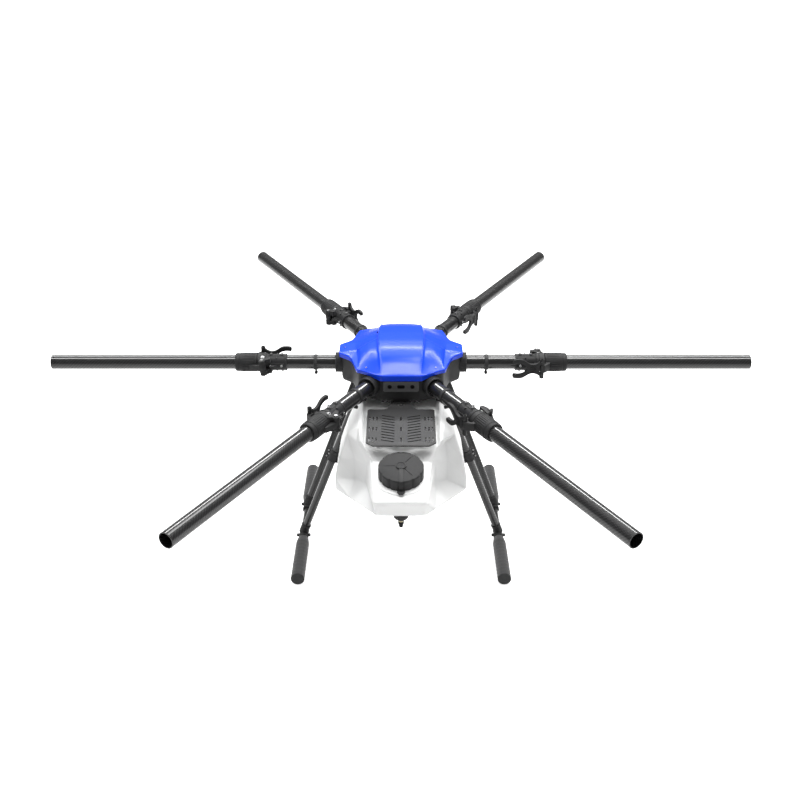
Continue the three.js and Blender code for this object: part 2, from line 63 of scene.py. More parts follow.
# ---- Driving dimensions, millimetres ----
_low, _high = mm_box("arm_tube_1")
ARM_Z = (_low[2] + _high[2]) / 2
ARM_END = _high[0]
OUTER_START = _low[0]
ROOT_START, ROOT_END = (corner[0] for corner in mm_box("arm_root_tube_1"))
TUBE_R = 17.5
TUBE_BORE_R = 15.5
CLAMP_START = mm_box("arm_clamp_1")[0][0]
PART_X = 357.0
COLLAR_END = mm_box("arm_collar_1")[1][0]
COLLAR_R = 23.5
LATCH_HALF = 25.5
CLIP_X = 208.0
SOCKET_OUT = 163.0
SOCKET_R = 25.0
HUB_BOTTOM = -38.0
OUTLET_Y = -305.0
OUTLET_R = 17.3
PANEL_Y = -138.3
PORT_X = 27.0
SUMP_Z = -236.0
TRAY_TOP = -41.5
TRAY_FRONT, TRAY_REAR = -339.0, -170.0
TRAY_HALF = 79.0
SKID_X = 255.0
SKID_Y = -10.0
SKID_Z = -466.0
SKID_HALF = 257.0
FOAM_START = 86.0
FOAM_R = 17.0
LEG_R = 9.5
LEG_SOCKET = 16.0
LEG_CLAMP = (0.385, 0.455)
ROOM_LIGHT = 0.46
ROOM_REFLECTION = 0.2
FLOOR_GLOW = 0.75
FLOOR_REACH = 30000.0
ARM_COUNT = 6
CAMERA_DISTANCE = 2.994  # in arm lengths
CAMERA_ELEVATION = 26.0
CAMERA_LENS = 46.935
CAMERA_SENSOR = 36.0
CAMERA_SHIFT = (-0.00125, -0.0475)


def shift(x, y, z):
    return Matrix.Translation((x, y, z))


LIFT = shift(0, 0, ARM_Z)
ALONG_X = Matrix.Rotation(math.pi / 2, 4, "Y")
ALONG_Y = Matrix.Rotation(-math.pi / 2, 4, "X")
UPRIGHT = Matrix.Rotation(math.pi / 2, 4, "X")


def joint(name):
    return next(item for item in frame["joints"] if item["name"] == name)


def pivot(name):
    return Vector(joint(name)["pos_m"]) / MM - Vector((0, 0, ARM_Z))


def turned_to(axis):
    return Vector((0, 0, 1)).rotation_difference(Vector(axis)).to_matrix().to_4x4()


INTO_HINGE = Matrix.Translation(pivot("arm_1_fold")) @ turned_to(joint("arm_1_fold")["axis"])
LATCH_X, LATCH_Y, _ = pivot("latch_1_open")
ONTO_FILLER = Matrix.Translation(pivot("lid_turn")) @ turned_to(joint("lid_turn")["axis"])


# ---- Mesh building ----
def lathe(profile, segments=48, closed=False):
    """Turns [radius, z] points about Z, with u around and v along in the UV map."""
    bm = bmesh.new()
    uv = bm.loops.layers.uv.new("UVMap")
    rings = []
    for radius, z in profile:
        if radius < 1e-6:
            rings.append([bm.verts.new((0, 0, z))])
            continue
        angles = [2 * math.pi * k / segments for k in range(segments)]
        rings.append([bm.verts.new((radius * math.cos(a), radius * math.sin(a), z)) for a in angles])
    pairs = list(zip(range(len(rings)), range(1, len(rings))))
    if closed:
        pairs.append((len(rings) - 1, 0))
    for low, high in pairs:
        a, b = rings[low], rings[high]
        if len(a) == len(b) == 1:
            continue
        za, zb = profile[low][1] * MM, profile[high][1] * MM
        for k in range(segments):
            n = (k + 1) % segments
            corners = []
            if len(a) > 1:
                corners += [(a[k], k, za), (a[n], k + 1, za)]
            else:
                corners.append((a[0], k, za))
            if len(b) > 1:
                corners += [(b[n], k + 1, zb), (b[k], k, zb)]
            else:
                corners.append((b[0], k, zb))
            face = bm.faces.new([vert for vert, _, _ in corners])
            for loop, (_, around, along) in zip(face.loops, corners):
                loop[uv].uv = (around / segments, along)
    return recalculated(bm)


def cylinder(radius, low, high, segments):
    return lathe([(0, low), (radius, low), (radius, high), (0, high)], segments)


def pipe(inner, outer, low, high, segments):
    return lathe([(inner, low), (outer, low), (outer, high), (inner, high)], segments, closed=True)


def recalculated(bm):
    bmesh.ops.recalc_face_normals(bm, faces=bm.faces)
    return bm


def prism(outline, z0, z1):
    return loft([[(x, y, z0) for x, y in outline], [(x, y, z1) for x, y in outline]])


def box(x0, x1, y0, y1, z0, z1):
    return prism([(x0, y0), (x1, y0), (x1, y1), (x0, y1)], z0, z1)


def loft(rings):
    """Skins equal rings of points and closes both ends."""
    bm = bmesh.new()
    made = [[bm.verts.new(point) for point in ring] for ring in rings]
    count = len(made[0])
    for a, b in zip(made, made[1:]):
        for k in range(count):
            n = (k + 1) % count
            bm.faces.new((a[k], a[n], b[n], b[k]))
    bm.faces.new(list(reversed(made[0])))
    bm.faces.new(made[-1])
    return recalculated(bm)


def bevelled(bm, width, segments=2, angle=30.0):
    limit = math.radians(angle)
    edges = [e for e in bm.edges if len(e.link_faces) == 2 and e.calc_face_angle(0) > limit]
    bmesh.ops.bevel(bm, geom=edges, offset=width, segments=segments, profile=0.6, affect="EDGES",
                    clamp_overlap=True)
    return bm


def moved(bm, *matrices):
    whole = Matrix.Identity(4)
    for matrix in matrices:
        whole = whole @ matrix
    bmesh.ops.transform(bm, matrix=whole, verts=bm.verts)
    return bm


def copied(bm, *matrices):
    return moved(bm.copy(), *matrices)


def merged(parts):
    """One bmesh with every part in it, each still its own shell."""
    whole = bmesh.new()
    whole.loops.layers.uv.new("UVMap")
    for part in parts:
        mesh = bpy.data.meshes.new("part")
        part.to_mesh(mesh)
        whole.from_mesh(mesh)
        bpy.data.meshes.remove(mesh)
    return whole


def to_object(bm, name="work"):
    mesh = bpy.data.meshes.new(name)
    bm.to_mesh(mesh)
    obj = bpy.data.objects.new(name, mesh)
    bpy.context.collection.objects.link(obj)
    return obj


def evaluated(obj):
    """The object's mesh with its modifiers applied, as a bmesh. The object is removed."""
    bpy.context.view_layer.update()
    shape = obj.evaluated_get(bpy.context.evaluated_depsgraph_get())
    bm = bmesh.new()
    bm.from_mesh(shape.to_mesh())
    shape.to_mesh_clear()
    mesh = obj.data
    bpy.data.objects.remove(obj)
    bpy.data.meshes.remove(mesh)
    return bm


def boolean(bm, tools, operation="DIFFERENCE"):
    body = to_object(bm)
    workers = [to_object(tool) for tool in tools]
    for worker in workers:
        modifier = body.modifiers.new("cut", "BOOLEAN")
        modifier.operation = operation
        modifier.solver = "EXACT"
        modifier.object = worker
    result = evaluated(body)
    for worker in workers:
        mesh = worker.data
        bpy.data.objects.remove(worker)
        bpy.data.meshes.remove(mesh)
    return result


def softened(bm, splits, wall=0.0, rounds=1):
    """Splits every face, then rounds the edges over about one split, and gives an open sheet its wall."""
    obj = to_object(bm)
    for name, kind, levels in (("split", "SIMPLE", splits), ("round", "CATMULL_CLARK", rounds)):
        modifier = obj.modifiers.new(name, "SUBSURF")
        modifier.subdivision_type = kind
        modifier.levels = modifier.render_levels = levels
        if wall and kind == "SIMPLE":
            shell = obj.modifiers.new("wall", "SOLIDIFY")
            shell.thickness = wall
            shell.offset = -1
    return evaluated(obj)


def arc(centre, radius, start, end, steps=8):
    angles = [math.radians(start + (end - start) * k / steps) for k in range(steps + 1)]
    return [(centre[0] + radius * math.cos(a), centre[1] + radius * math.sin(a)) for a in angles]


def rounded_rectangle(half_x, half_y, radius, steps=5):
    corners = [(1, 1, 0), (-1, 1, 90), (-1, -1, 180), (1, -1, 270)]
    points = []
    for sx, sy, start in corners:
        centre = (sx * (half_x - radius), sy * (half_y - radius))
        points += arc(centre, radius, start, start + 90, steps)
    return points


def rounded(outline, radius, steps=4):
    """Rounds every corner of an outline by a quadratic curve of the given reach."""
    points = []
    count = len(outline)
    for k, corner in enumerate(outline):
        here = Vector(corner)
        back = Vector(outline[k - 1]) - here
        ahead = Vector(outline[(k + 1) % count]) - here
        reach = min(radius, back.length * 0.45, ahead.length * 0.45)
        start = here + back.normalized() * reach
        end = here + ahead.normalized() * reach
        for s in range(steps + 1):
            t = s / steps
            points.append(tuple(start * (1 - t) ** 2 + here * (2 * t * (1 - t)) + end * t ** 2))
    return points


def curve_through(points, steps=6):
    """Smooth open curve through the given points."""
    ends = [points[0]] + list(points) + [points[-1]]
    result = []
    for k in range(1, len(ends) - 2):
        p0, p1, p2, p3 = (Vector(p) for p in ends[k - 1:k + 3])
        for s in range(steps):
            t = s / steps
            point = 0.5 * (2 * p1 + (p2 - p0) * t + (2 * p0 - 5 * p1 + 4 * p2 - p3) * t * t
                           + (3 * p1 - p0 - 3 * p2 + p3) * t ** 3)
            result.append(tuple(point))
    result.append(tuple(points[-1]))
    return result


def aimed(start, end):
    """Matrix that carries the Z axis onto the line from start to end."""
    turn = Vector((0, 0, 1)).rotation_difference((end - start).normalized())
    return Matrix.Translation(start) @ turn.to_matrix().to_4x4()


# ---- Pieces ----
def piece(name, parts, surface, body, stands_for=(), matrices=(), sharp=32.0):
    bm = merged(parts)
    moved(bm, Matrix.Scale(MM, 4), LIFT, *matrices)
    bmesh.ops.dissolve_degenerate(bm, dist=1e-7, edges=bm.edges)
    for face in bm.faces:
        face.smooth = True
    for edge in bm.edges:
        edge.smooth = len(edge.link_faces) != 2 or edge.calc_face_angle(0) < math.radians(sharp)
    obj = to_object(bm, name)
    bm.free()
    obj.data.materials.append(surface)
    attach(obj, body)
    if stands_for:
        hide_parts(*stands_for)
    return obj


# ---- Materials ----
def new_material(name):
    material = bpy.data.materials.new(name)
    material.use_nodes = True
    nodes = material.node_tree.nodes
    links = material.node_tree.links
    return material, nodes, links, nodes["Principled BSDF"]


def preset(node, values):
    """Sets a node's unlinked inputs."""
    for label, value in values.items():
        node.inputs[label].default_value = value


def math_node(nodes, links, operation, *inputs):
    node = nodes.new("ShaderNodeMath")
    node.operation = operation
    for socket, value in zip(node.inputs, inputs):
        if isinstance(value, (int, float)):
            socket.default_value = value
        else:
            links.new(value, socket)
    return node.outputs[0]


def mix_colour(nodes, links, factor, a, b):
    node = nodes.new("ShaderNodeMix")
    node.data_type = "RGBA"
    if isinstance(factor, (int, float)):
        node.inputs["Factor"].default_value = factor
    else:
        links.new(factor, node.inputs["Factor"])
    for label, colour in (("A", a), ("B", b)):
        socket = next(s for s in node.inputs if s.name == label and s.type == "RGBA")
        if isinstance(colour, tuple):
            socket.default_value = (*colour, 1)
        else:
            links.new(colour, socket)
    return next(s for s in node.outputs if s.type == "RGBA")


def noise(nodes, links, scale, detail=3.0, coordinates=None):
    if coordinates is None:
        coordinates = nodes.new("ShaderNodeTexCoord").outputs["Object"]
    node = nodes.new("ShaderNodeTexNoise")
    node.inputs["Scale"].default_value = scale
    node.inputs["Detail"].default_value = detail
    links.new(coordinates, node.inputs["Vector"])
    return node.outputs["Fac"]


def ramp(nodes, links, value, low, high):
    node = nodes.new("ShaderNodeMapRange")
    node.inputs["To Min"].default_value = low
    node.inputs["To Max"].default_value = high
    links.new(value, node.inputs["Value"])
    return node.outputs["Result"]


def bump(nodes, links, height, strength, distance):
    node = nodes.new("ShaderNodeBump")
    node.inputs["Strength"].default_value = strength
    node.inputs["Distance"].default_value = distance
    links.new(height, node.inputs["Height"])
    return node.outputs["Normal"]


def sharp_edge_mask(nodes, links):
    """One on sharp outer edges, zero elsewhere."""
    pointiness = nodes.new("ShaderNodeNewGeometry").outputs["Pointiness"]
    node = nodes.new("ShaderNodeMapRange")
    node.inputs["From Min"].default_value = 0.52
    node.inputs["From Max"].default_value = 0.6
    links.new(pointiness, node.inputs["Value"])
    return node.outputs["Result"]


def moulded_plastic(name, dark, light, roughness, grain=900.0):
    material, nodes, links, shader = new_material(name)
    cloud = noise(nodes, links, 14.0)
    base = mix_colour(nodes, links, cloud, dark, light)
    # Sharp outer edges are mixed towards a lighter grey.
    edge = math_node(nodes, links, "MULTIPLY", sharp_edge_mask(nodes, links), 0.35)
    edged = mix_colour(nodes, links, edge, base, tuple(min(1.0, c * 2.2 + 0.02) for c in light))
    links.new(edged, shader.inputs["Base Color"])
    fine = noise(nodes, links, grain, 2.0)
    links.new(ramp(nodes, links, noise(nodes, links, 60.0), roughness - 0.06, roughness + 0.06),
              shader.inputs["Roughness"])
    links.new(bump(nodes, links, fine, 0.35, 0.00012), shader.inputs["Normal"])
    preset(shader, {"Specular IOR Level": 0.22})
    return material


def blue_paint():
    material, nodes, links, shader = new_material("blue_paint")
    cloud = noise(nodes, links, 9.0)
    links.new(mix_colour(nodes, links, cloud, (0.002, 0.048, 0.72), (0.004, 0.06, 0.82)),
              shader.inputs["Base Color"])
    preset(shader, {"Roughness": 0.34, "Specular IOR Level": 0.1, "Coat Weight": 0.5,
                    "Coat Roughness": 0.22})
    peel = noise(nodes, links, 260.0, 2.0)
    links.new(bump(nodes, links, peel, 0.12, 0.0002), shader.inputs["Coat Normal"])
    links.new(bump(nodes, links, noise(nodes, links, 1400.0, 1.0), 0.2, 0.00005), shader.inputs["Normal"])
    return material


def carbon_weave(name, tows, tow_length, painted_sheen_contrast, coat):
    """Two by two twill: tows run along and around the tube, and each passes over two and under two."""
    material, nodes, links, shader = new_material(name)
    split = nodes.new("ShaderNodeSeparateXYZ")
    links.new(nodes.new("ShaderNodeTexCoord").outputs["UV"], split.inputs[0])
    around = math_node(nodes, links, "MULTIPLY", split.outputs[0], tows)
    along = math_node(nodes, links, "DIVIDE", split.outputs[1], tow_length)
    cells = math_node(nodes, links, "ADD", math_node(nodes, links, "FLOOR", around),
                      math_node(nodes, links, "FLOOR", along))
    phase = math_node(nodes, links, "FLOORED_MODULO", cells, 4.0)
    over = math_node(nodes, links, "LESS_THAN", phase, 1.5)

    def hump(value):
        fraction = math_node(nodes, links, "FRACT", value)
        centred = math_node(nodes, links, "MULTIPLY_ADD", fraction, 2.0, -1.0)
        return math_node(nodes, links, "SUBTRACT", 1.0,
                         math_node(nodes, links, "MULTIPLY", centred, centred))

    warp = math_node(nodes, links, "MULTIPLY", hump(around), over)
    weft = math_node(nodes, links, "MULTIPLY", hump(along), math_node(nodes, links, "SUBTRACT", 1.0, over))
    height = math_node(nodes, links, "ADD", warp, weft)
    # Tows lying over are lighter than tows lying under: a painted sheen that stands in for the weave's
    # changing reflection.
    dark, light = 0.006, 0.006 + painted_sheen_contrast
    tone = mix_colour(nodes, links, over, (dark, dark, dark), (light, light, light * 1.04))
    # Near black in the gaps between tows: painted shade in the grooves of the weave.
    tone_with_painted_groove_shade = mix_colour(nodes, links, height, (0.002, 0.002, 0.002), tone)
    links.new(tone_with_painted_groove_shade, shader.inputs["Base Color"])
    preset(shader, {"Specular IOR Level": 0.3})
    links.new(ramp(nodes, links, over, 0.5, 0.3), shader.inputs["Roughness"])
    links.new(bump(nodes, links, height, 0.5, 0.0002), shader.inputs["Normal"])
    preset(shader, {"Coat Weight": coat, "Coat Roughness": 0.04})
    return material


def white_tank():
    material, nodes, links, shader = new_material("tank_plastic")
    cloud = noise(nodes, links, 7.0)
    links.new(mix_colour(nodes, links, cloud, (0.8, 0.81, 0.81), (0.87, 0.87, 0.86)),
              shader.inputs["Base Color"])
    preset(shader, {"Subsurface Weight": 0.25, "Subsurface Radius": (1.0, 1.0, 1.0),
                    "Subsurface Scale": 0.012})
    links.new(ramp(nodes, links, noise(nodes, links, 40.0), 0.3, 0.42), shader.inputs["Roughness"])
    links.new(bump(nodes, links, noise(nodes, links, 55.0, 2.0), 0.15, 0.0006), shader.inputs["Normal"])
    return material


def metal(name, colour, roughness):
    material, nodes, links, shader = new_material(name)
    preset(shader, {"Metallic": 1.0})
    brushed = noise(nodes, links, 500.0, 4.0)
    darker = tuple(c * 0.7 for c in colour)
    links.new(mix_colour(nodes, links, brushed, darker, colour), shader.inputs["Base Color"])
    links.new(ramp(nodes, links, brushed, roughness - 0.08, roughness + 0.12), shader.inputs["Roughness"])
    return material


def foam():
    material, nodes, links, shader = new_material("foam")
    cells = nodes.new("ShaderNodeTexVoronoi")
    cells.inputs["Scale"].default_value = 850.0
    links.new(nodes.new("ShaderNodeTexCoord").outputs["Object"], cells.inputs["Vector"])
    tone = mix_colour(nodes, links, noise(nodes, links, 30.0), (0.02, 0.02, 0.0205), (0.034, 0.034, 0.035))
    links.new(tone, shader.inputs["Base Color"])
    preset(shader, {"Roughness": 0.85, "Sheen Weight": 0.25})
    links.new(bump(nodes, links, cells.outputs["Distance"], 0.5, 0.0004), shader.inputs["Normal"])
    return material


def circuit_board():
    material, nodes, links, shader = new_material("circuit_board")
    tracks = nodes.new("ShaderNodeTexBrick")
    tracks.inputs["Scale"].default_value = 60.0
    tracks.inputs["Color1"].default_value = (0.01, 0.1, 0.03, 1)
    tracks.inputs["Color2"].default_value = (0.01, 0.07, 0.02, 1)
    tracks.inputs["Mortar"].default_value = (0.25, 0.18, 0.05, 1)
    links.new(nodes.new("ShaderNodeTexCoord").outputs["Object"], tracks.inputs["Vector"])
    links.new(tracks.outputs["Color"], shader.inputs["Base Color"])
    preset(shader, {"Roughness": 0.4})
    return material


PLASTIC = moulded_plastic("dark_plastic", (0.016, 0.016, 0.0165), (0.025, 0.025, 0.0255), 0.5)
HUB_PLASTIC = moulded_plastic("hub_plastic", (0.018, 0.018, 0.0185), (0.028, 0.028, 0.0285), 0.5)
PANEL = moulded_plastic("panel_plastic", (0.075, 0.075, 0.077), (0.095, 0.095, 0.097), 0.5)
TRAY = moulded_plastic("tray_plate", (0.026, 0.026, 0.0265), (0.038, 0.038, 0.0385), 0.45)
PORT = moulded_plastic("port_black", (0.001, 0.001, 0.001), (0.002, 0.002, 0.002), 0.8)
RUBBER = moulded_plastic("black_rubber", (0.01, 0.01, 0.01), (0.02, 0.02, 0.02), 0.75, grain=1500.0)
BLUE = blue_paint()
CARBON = carbon_weave("carbon_twill", 56, 0.00196, 0.02, 1.0)
ROOT_CARBON = carbon_weave("carbon_satin", 56, 0.00196, 0.006, 1.0)
LEG_CARBON = carbon_weave("carbon_leg", 32, 0.00186, 0.01, 0.8)
WHITE = white_tank()
STEEL = metal("bright_steel", (0.4, 0.4, 0.4), 0.35)
BLACK_STEEL = metal("black_steel", (0.07, 0.07, 0.07), 0.4)
BRASS = metal("brass", (0.75, 0.68, 0.45), 0.3)
FOAM = foam()
BOARD = circuit_board()


# ---- Fasteners ----
def socket_screw(radius, height):
    """Cap screw head with a hexagon socket, standing on z = 0."""
    head = lathe([(0, -0.5), (radius, -0.5), (radius, height * 0.75), (radius * 0.86, height), (0, height)],
                 24)
    hexagon = [(radius * 0.5 * math.cos(k * math.pi / 3), radius * 0.5 * math.sin(k * math.pi / 3))
               for k in range(6)]
    return boolean(head, [prism(hexagon, height * 0.3, height + 1)])


def slotted_screw(radius, height):
    head = lathe([(0, -0.5), (radius, -0.5), (radius, height * 0.6), (radius * 0.8, height),
                  (0, height * 1.1)], 28)
    slot = box(-radius * 1.2, radius * 1.2, -radius * 0.16, radius * 0.16, height * 0.55, height + 2)
    return boolean(head, [slot])


SCREW = socket_screw(3.0, 2.6)
SMALL_SCREW = socket_screw(2.2, 1.6)
BIG_SCREW = slotted_screw(5.6, 2.6)


def standing(screw, at, normal=(0, 0, 1)):
    start = Vector(at)
    return copied(screw, aimed(start, start + Vector(normal)))


# ---- Arm, along +X, with the fold pin on +Y and the latch on -Y ----
def straight_tube(outer, inner, start, end, segments=72, lip=0.4):
    profile = [(inner, start), (outer - lip, start), (outer, start + lip), (outer, end - lip),
               (outer - lip, end), (inner, end)]
    return moved(lathe(profile, segments, closed=True), ALONG_X)


def cable_clip():
    start, end = CLIP_X, CLIP_X + 9
    ring = [(TUBE_R - 0.5, start), (TUBE_R + 1.2, start), (TUBE_R + 2, start + 1), (TUBE_R + 2, end - 1),
            (TUBE_R + 1.2, end), (TUBE_R - 0.5, end)]
    band = moved(lathe(ring, 48, closed=True), ALONG_X)
    middle = CLIP_X + 4.5
    neck = bevelled(box(middle - 2, middle + 2, -4, 4, -29, -TUBE_R), 0.8)
    knob = bevelled(cylinder(4, -4.5, 4.5, 28), 0.9)
    return [band, neck, moved(knob, shift(middle, 0, -28), ALONG_Y)]


def clamp_screw_spots():
    """Two rows along the clamp, repeated on its four sides."""
    return [(x, angle) for x in (296, 323) for angle in (0, 90, 180, 270)]


def round_the_arm(x, angle, radius):
    """Matrix that stands a piece up at a given angle around the arm."""
    return shift(x, 0, 0) @ Matrix.Rotation(math.radians(angle), 4, "X") @ shift(0, 0, radius)


def clamp_parts():
    profile = [(TUBE_R + 0.1, CLAMP_START), (20.2, CLAMP_START), (21, CLAMP_START + 0.8),
               (21, CLAMP_START + 3.6), (20, CLAMP_START + 4.6),
               (20, 330), (21.6, 333.5), (22.8, 335.5), (COLLAR_R, 336.2), (COLLAR_R, 341), (22.4, 341.8),
               (22.4, 343), (COLLAR_R, 343.8),
               (COLLAR_R, PART_X - 1.6), (22.4, PART_X - 0.4), (14, PART_X - 0.4), (14, 333),
               (TUBE_R + 0.1, 333)]
    parts = [moved(lathe(profile, 72, closed=True), ALONG_X)]
    for angle in (0, 90, 180, 270):
        rib = bevelled(box(CLAMP_START + 5, 336, -5.6, 5.6, 17, 20.4), 1.1, 3)
        parts.append(moved(rib, Matrix.Rotation(math.radians(angle), 4, "X")))
    for x, angle in clamp_screw_spots():
        boss = bevelled(lathe([(0, -3), (5.4, -3), (4.9, 1.6), (0, 1.6)], 28), 0.5)
        parts.append(moved(boss, round_the_arm(x, angle, 20)))
    for x in (309, 335):
        for side in (1, -1):
            web = bevelled(box(x - 1.2, x + 1.2, -14, 14, side * 16 - 3, side * 16 + 3), 0.6)
            parts.append(web)
    crown = bevelled(prism(rounded_rectangle(7.6, 7.6, 3), 15, 21.4), 0.9)
    parts.append(moved(crown, shift(343, 0, 0), Matrix.Rotation(math.radians(-34), 4, "X")))
    outline = [(-20, -14), (12.4, -14)] + arc((0, 0), 8.5, -30, 180, 14) + [(-20, -5)]
    for low, high in ((7.7, 11.2), (12.2, 15.4), (16.2, 19.5)):
        for z0, z1 in ((low, high), (-high, -low)):
            parts.append(bevelled(moved(prism(outline, z0, z1), INTO_HINGE), 0.6, 2, 40))
    core = arc((0, 0), 7.2, -30, 180, 12) + [(-18, -6), (-18, -13), (12, -13)]
    for z0, z1 in ((7.7, 19), (-19, -7.7)):
        parts.append(moved(prism(core, z0, z1), INTO_HINGE))
    gusset = bevelled(prism([(300, 15), (324, 15), (324, 31), (318, 31)], -2.5, 2.5), 0.8)
    catch = bevelled(box(329.5, 341.5, -31.2, -20, -8, 8), 1.2, 3)
    return parts + [gusset, catch]


def clamp_screws():
    screws = [copied(SCREW, round_the_arm(x, angle, 21.5)) for x, angle in clamp_screw_spots()]
    head = Matrix.Rotation(math.radians(-34), 4, "X") @ shift(0, 0, 21.2)
    screws.append(copied(BIG_SCREW, shift(343, 0, 0), head))
    return screws


def fold_pin():
    profile = [(0, -22.5), (2, -23), (2.5, -22.4), (2.5, 19.6), (4.5, 19.6), (4.5, 21.2), (3.8, 22),
               (0, 22)]
    pin = moved(lathe(profile, 32), INTO_HINGE)
    clip = moved(pipe(2.5, 4.4, -21.4, -20.2, 28), INTO_HINGE)
    return [pin, clip]


def ribbed_barrel(stations, ribs=30, segments=180):
    """Closed ring body along X from [x, radius, rib depth] stations, fluted to each depth."""
    bm = bmesh.new()
    rings = []
    for x, radius, depth in stations:
        ring = []
        for k in range(segments):
            angle = 2 * math.pi * k / segments
            wave = 0.5 - 0.5 * math.cos(ribs * angle)
            reach = radius - depth * (1 - min(1.0, wave * 1.8))
            ring.append(bm.verts.new((x, reach * math.cos(angle), reach * math.sin(angle))))
        rings.append(ring)
    for a, b in zip(rings, rings[1:] + rings[:1]):
        for k in range(segments):
            n = (k + 1) % segments
            bm.faces.new((a[k], a[n], b[n], b[k]))
    return recalculated(bm)


def collar_parts():
    start = PART_X + 0.4
    stations = [(start, 14, 0), (start, 22.4, 0), (start + 1, COLLAR_R, 0), (start + 4, COLLAR_R, 0),
                (start + 5.5, COLLAR_R, 1.1),
                (391, COLLAR_R, 1.1), (393, COLLAR_R, 0), (400, 23.2, 0), (401, 22.4, 0), (402.5, 22.4, 0),
                (403.5, 22.9, 0), (409, 22.5, 0),
                (COLLAR_END - 1, 21.8, 0), (COLLAR_END, 20.6, 0), (COLLAR_END, TUBE_R + 0.1, 0),
                (OUTER_START - 0.5, TUBE_R + 0.1, 0),
                (OUTER_START - 0.5, 14, 0)]
    barrel = ribbed_barrel(stations)
    ear_outline = arc((0, 0), 7.5, 60, 255, 14) + [(15.9, -8), (34, -11), (34, -6)]
    ear = bevelled(moved(prism(ear_outline, -7.2, 7.2), INTO_HINGE), 0.8)
    lug_outline = rounded([(-5, -2), (-3, -4.5), (6, -4.5), (20, 10), (20, 18), (10.5, 18), (10.5, 8),
                           (-5, 8)], 2)
    lug = moved(bevelled(prism(lug_outline, -10, 10), 0.8), shift(LATCH_X, LATCH_Y, 0))
    return [barrel, ear, lug]


def latch_outline():
    outer = curve_through([(LATCH_X - 6, 24.6), (342, 20), (335, 14.6), (326, 12), (316, 14), (306, 20.5),
                           (298, 24.6), (286, 25.5), (277, 24)])
    tip = [(275, 20.5), (275.4, 15.5)]
    inner = curve_through([(278, 13.4), (288, 14.4), (298, 12.8), (306, 8), (311, 0)])
    half = [(LATCH_X + 3, LATCH_HALF - 1.5), (LATCH_X + 1.5, LATCH_HALF), (LATCH_X - 4, LATCH_HALF), *outer,
            *tip, *inner]
    return half + [(x, -z) for x, z in reversed(half[:-1])]


def latch_parts():
    """Fishtail lever: a flat blade with six-sided pockets, two prongs and a barrel at each pin end."""
    blade = moved(bevelled(prism(latch_outline(), -3.5, 3.5), 1.1, 3), shift(0, LATCH_Y, 0), UPRIGHT)
    pockets = []
    hexagon = [(1.9 * math.cos(k * math.pi / 3), 1.9 * math.sin(k * math.pi / 3)) for k in range(6)]
    for column in range(4):
        for row in range(-2, 3):
            x = 320 + column * 3.7
            z = row * 4.3 + (2.15 if column % 2 else 0)
            if abs(z) > 9:
                continue
            pocket = moved(prism(hexagon, -4.5, -2.6), shift(x, LATCH_Y, z),
                           Matrix.Rotation(-math.pi / 2, 4, "X"))
            pockets.append(pocket)
    gap = box(LATCH_X - 6.5, LATCH_X + 10, LATCH_Y - 7, LATCH_Y + 10, -10.4, 10.4)
    carved = boolean(blade, [merged(pockets), gap])
    barrels = [bevelled(cylinder(4.8, low, high, 28), 0.7)
               for low, high in ((10.5, LATCH_HALF), (-LATCH_HALF, -10.5))]
    return [carved] + [moved(barrel, shift(LATCH_X, LATCH_Y, 0)) for barrel in barrels]


def latch_pins():
    ends = [standing(SMALL_SCREW, (LATCH_X, LATCH_Y, LATCH_HALF)),
            standing(SMALL_SCREW, (LATCH_X, LATCH_Y, -LATCH_HALF), (0, 0, -1))]
    dots = [standing(SMALL_SCREW, (LATCH_X - 2, LATCH_Y - 3.4, z), (0, -1, 0)) for z in (18, -18)]
    shaft = moved(cylinder(2.2, -12, 12, 20), shift(LATCH_X, LATCH_Y, 0))
    return ends + dots + [shaft]


def build_arms():
    shapes = {
        "arm_root_tube": ([straight_tube(TUBE_R, TUBE_BORE_R, ROOT_START, ROOT_END)], ROOT_CARBON,
                          "root_tube_black", "frame", True),
        "cable_clip": (cable_clip(), PLASTIC, "dark_plastic", "frame", False),
        "arm_clamp": (clamp_parts(), PLASTIC, "dark_plastic", "frame", True),
        "clamp_screws": (clamp_screws(), STEEL, "steel", "frame", False),
        "fold_pin": (fold_pin(), STEEL, "steel", "frame", True),
        "arm_collar": (collar_parts(), PLASTIC, "dark_plastic", "arm", True),
        "arm_tube": ([straight_tube(TUBE_R, TUBE_BORE_R, OUTER_START, ARM_END)], CARBON, "carbon_tube",
                     "arm", True),
        "arm_latch": (latch_parts(), PLASTIC, "dark_plastic", "latch", True),
        "latch_pins": (latch_pins(), BLACK_STEEL, "steel", "latch", False),
    }
    for i in range(1, ARM_COUNT + 1):
        turn = Matrix.Rotation((i - 1) * 2 * math.pi / ARM_COUNT, 4, "Z")
        for name, (parts, surface, slot, body, is_node) in shapes.items():
            rider = body if body == "frame" else f"{body}_{i}"
            stands_for = (f"{name}_{i}",) if is_node else ()
            piece(f"visible_{name}_{i}", parts, surface, rider, stands_for, (turn,))


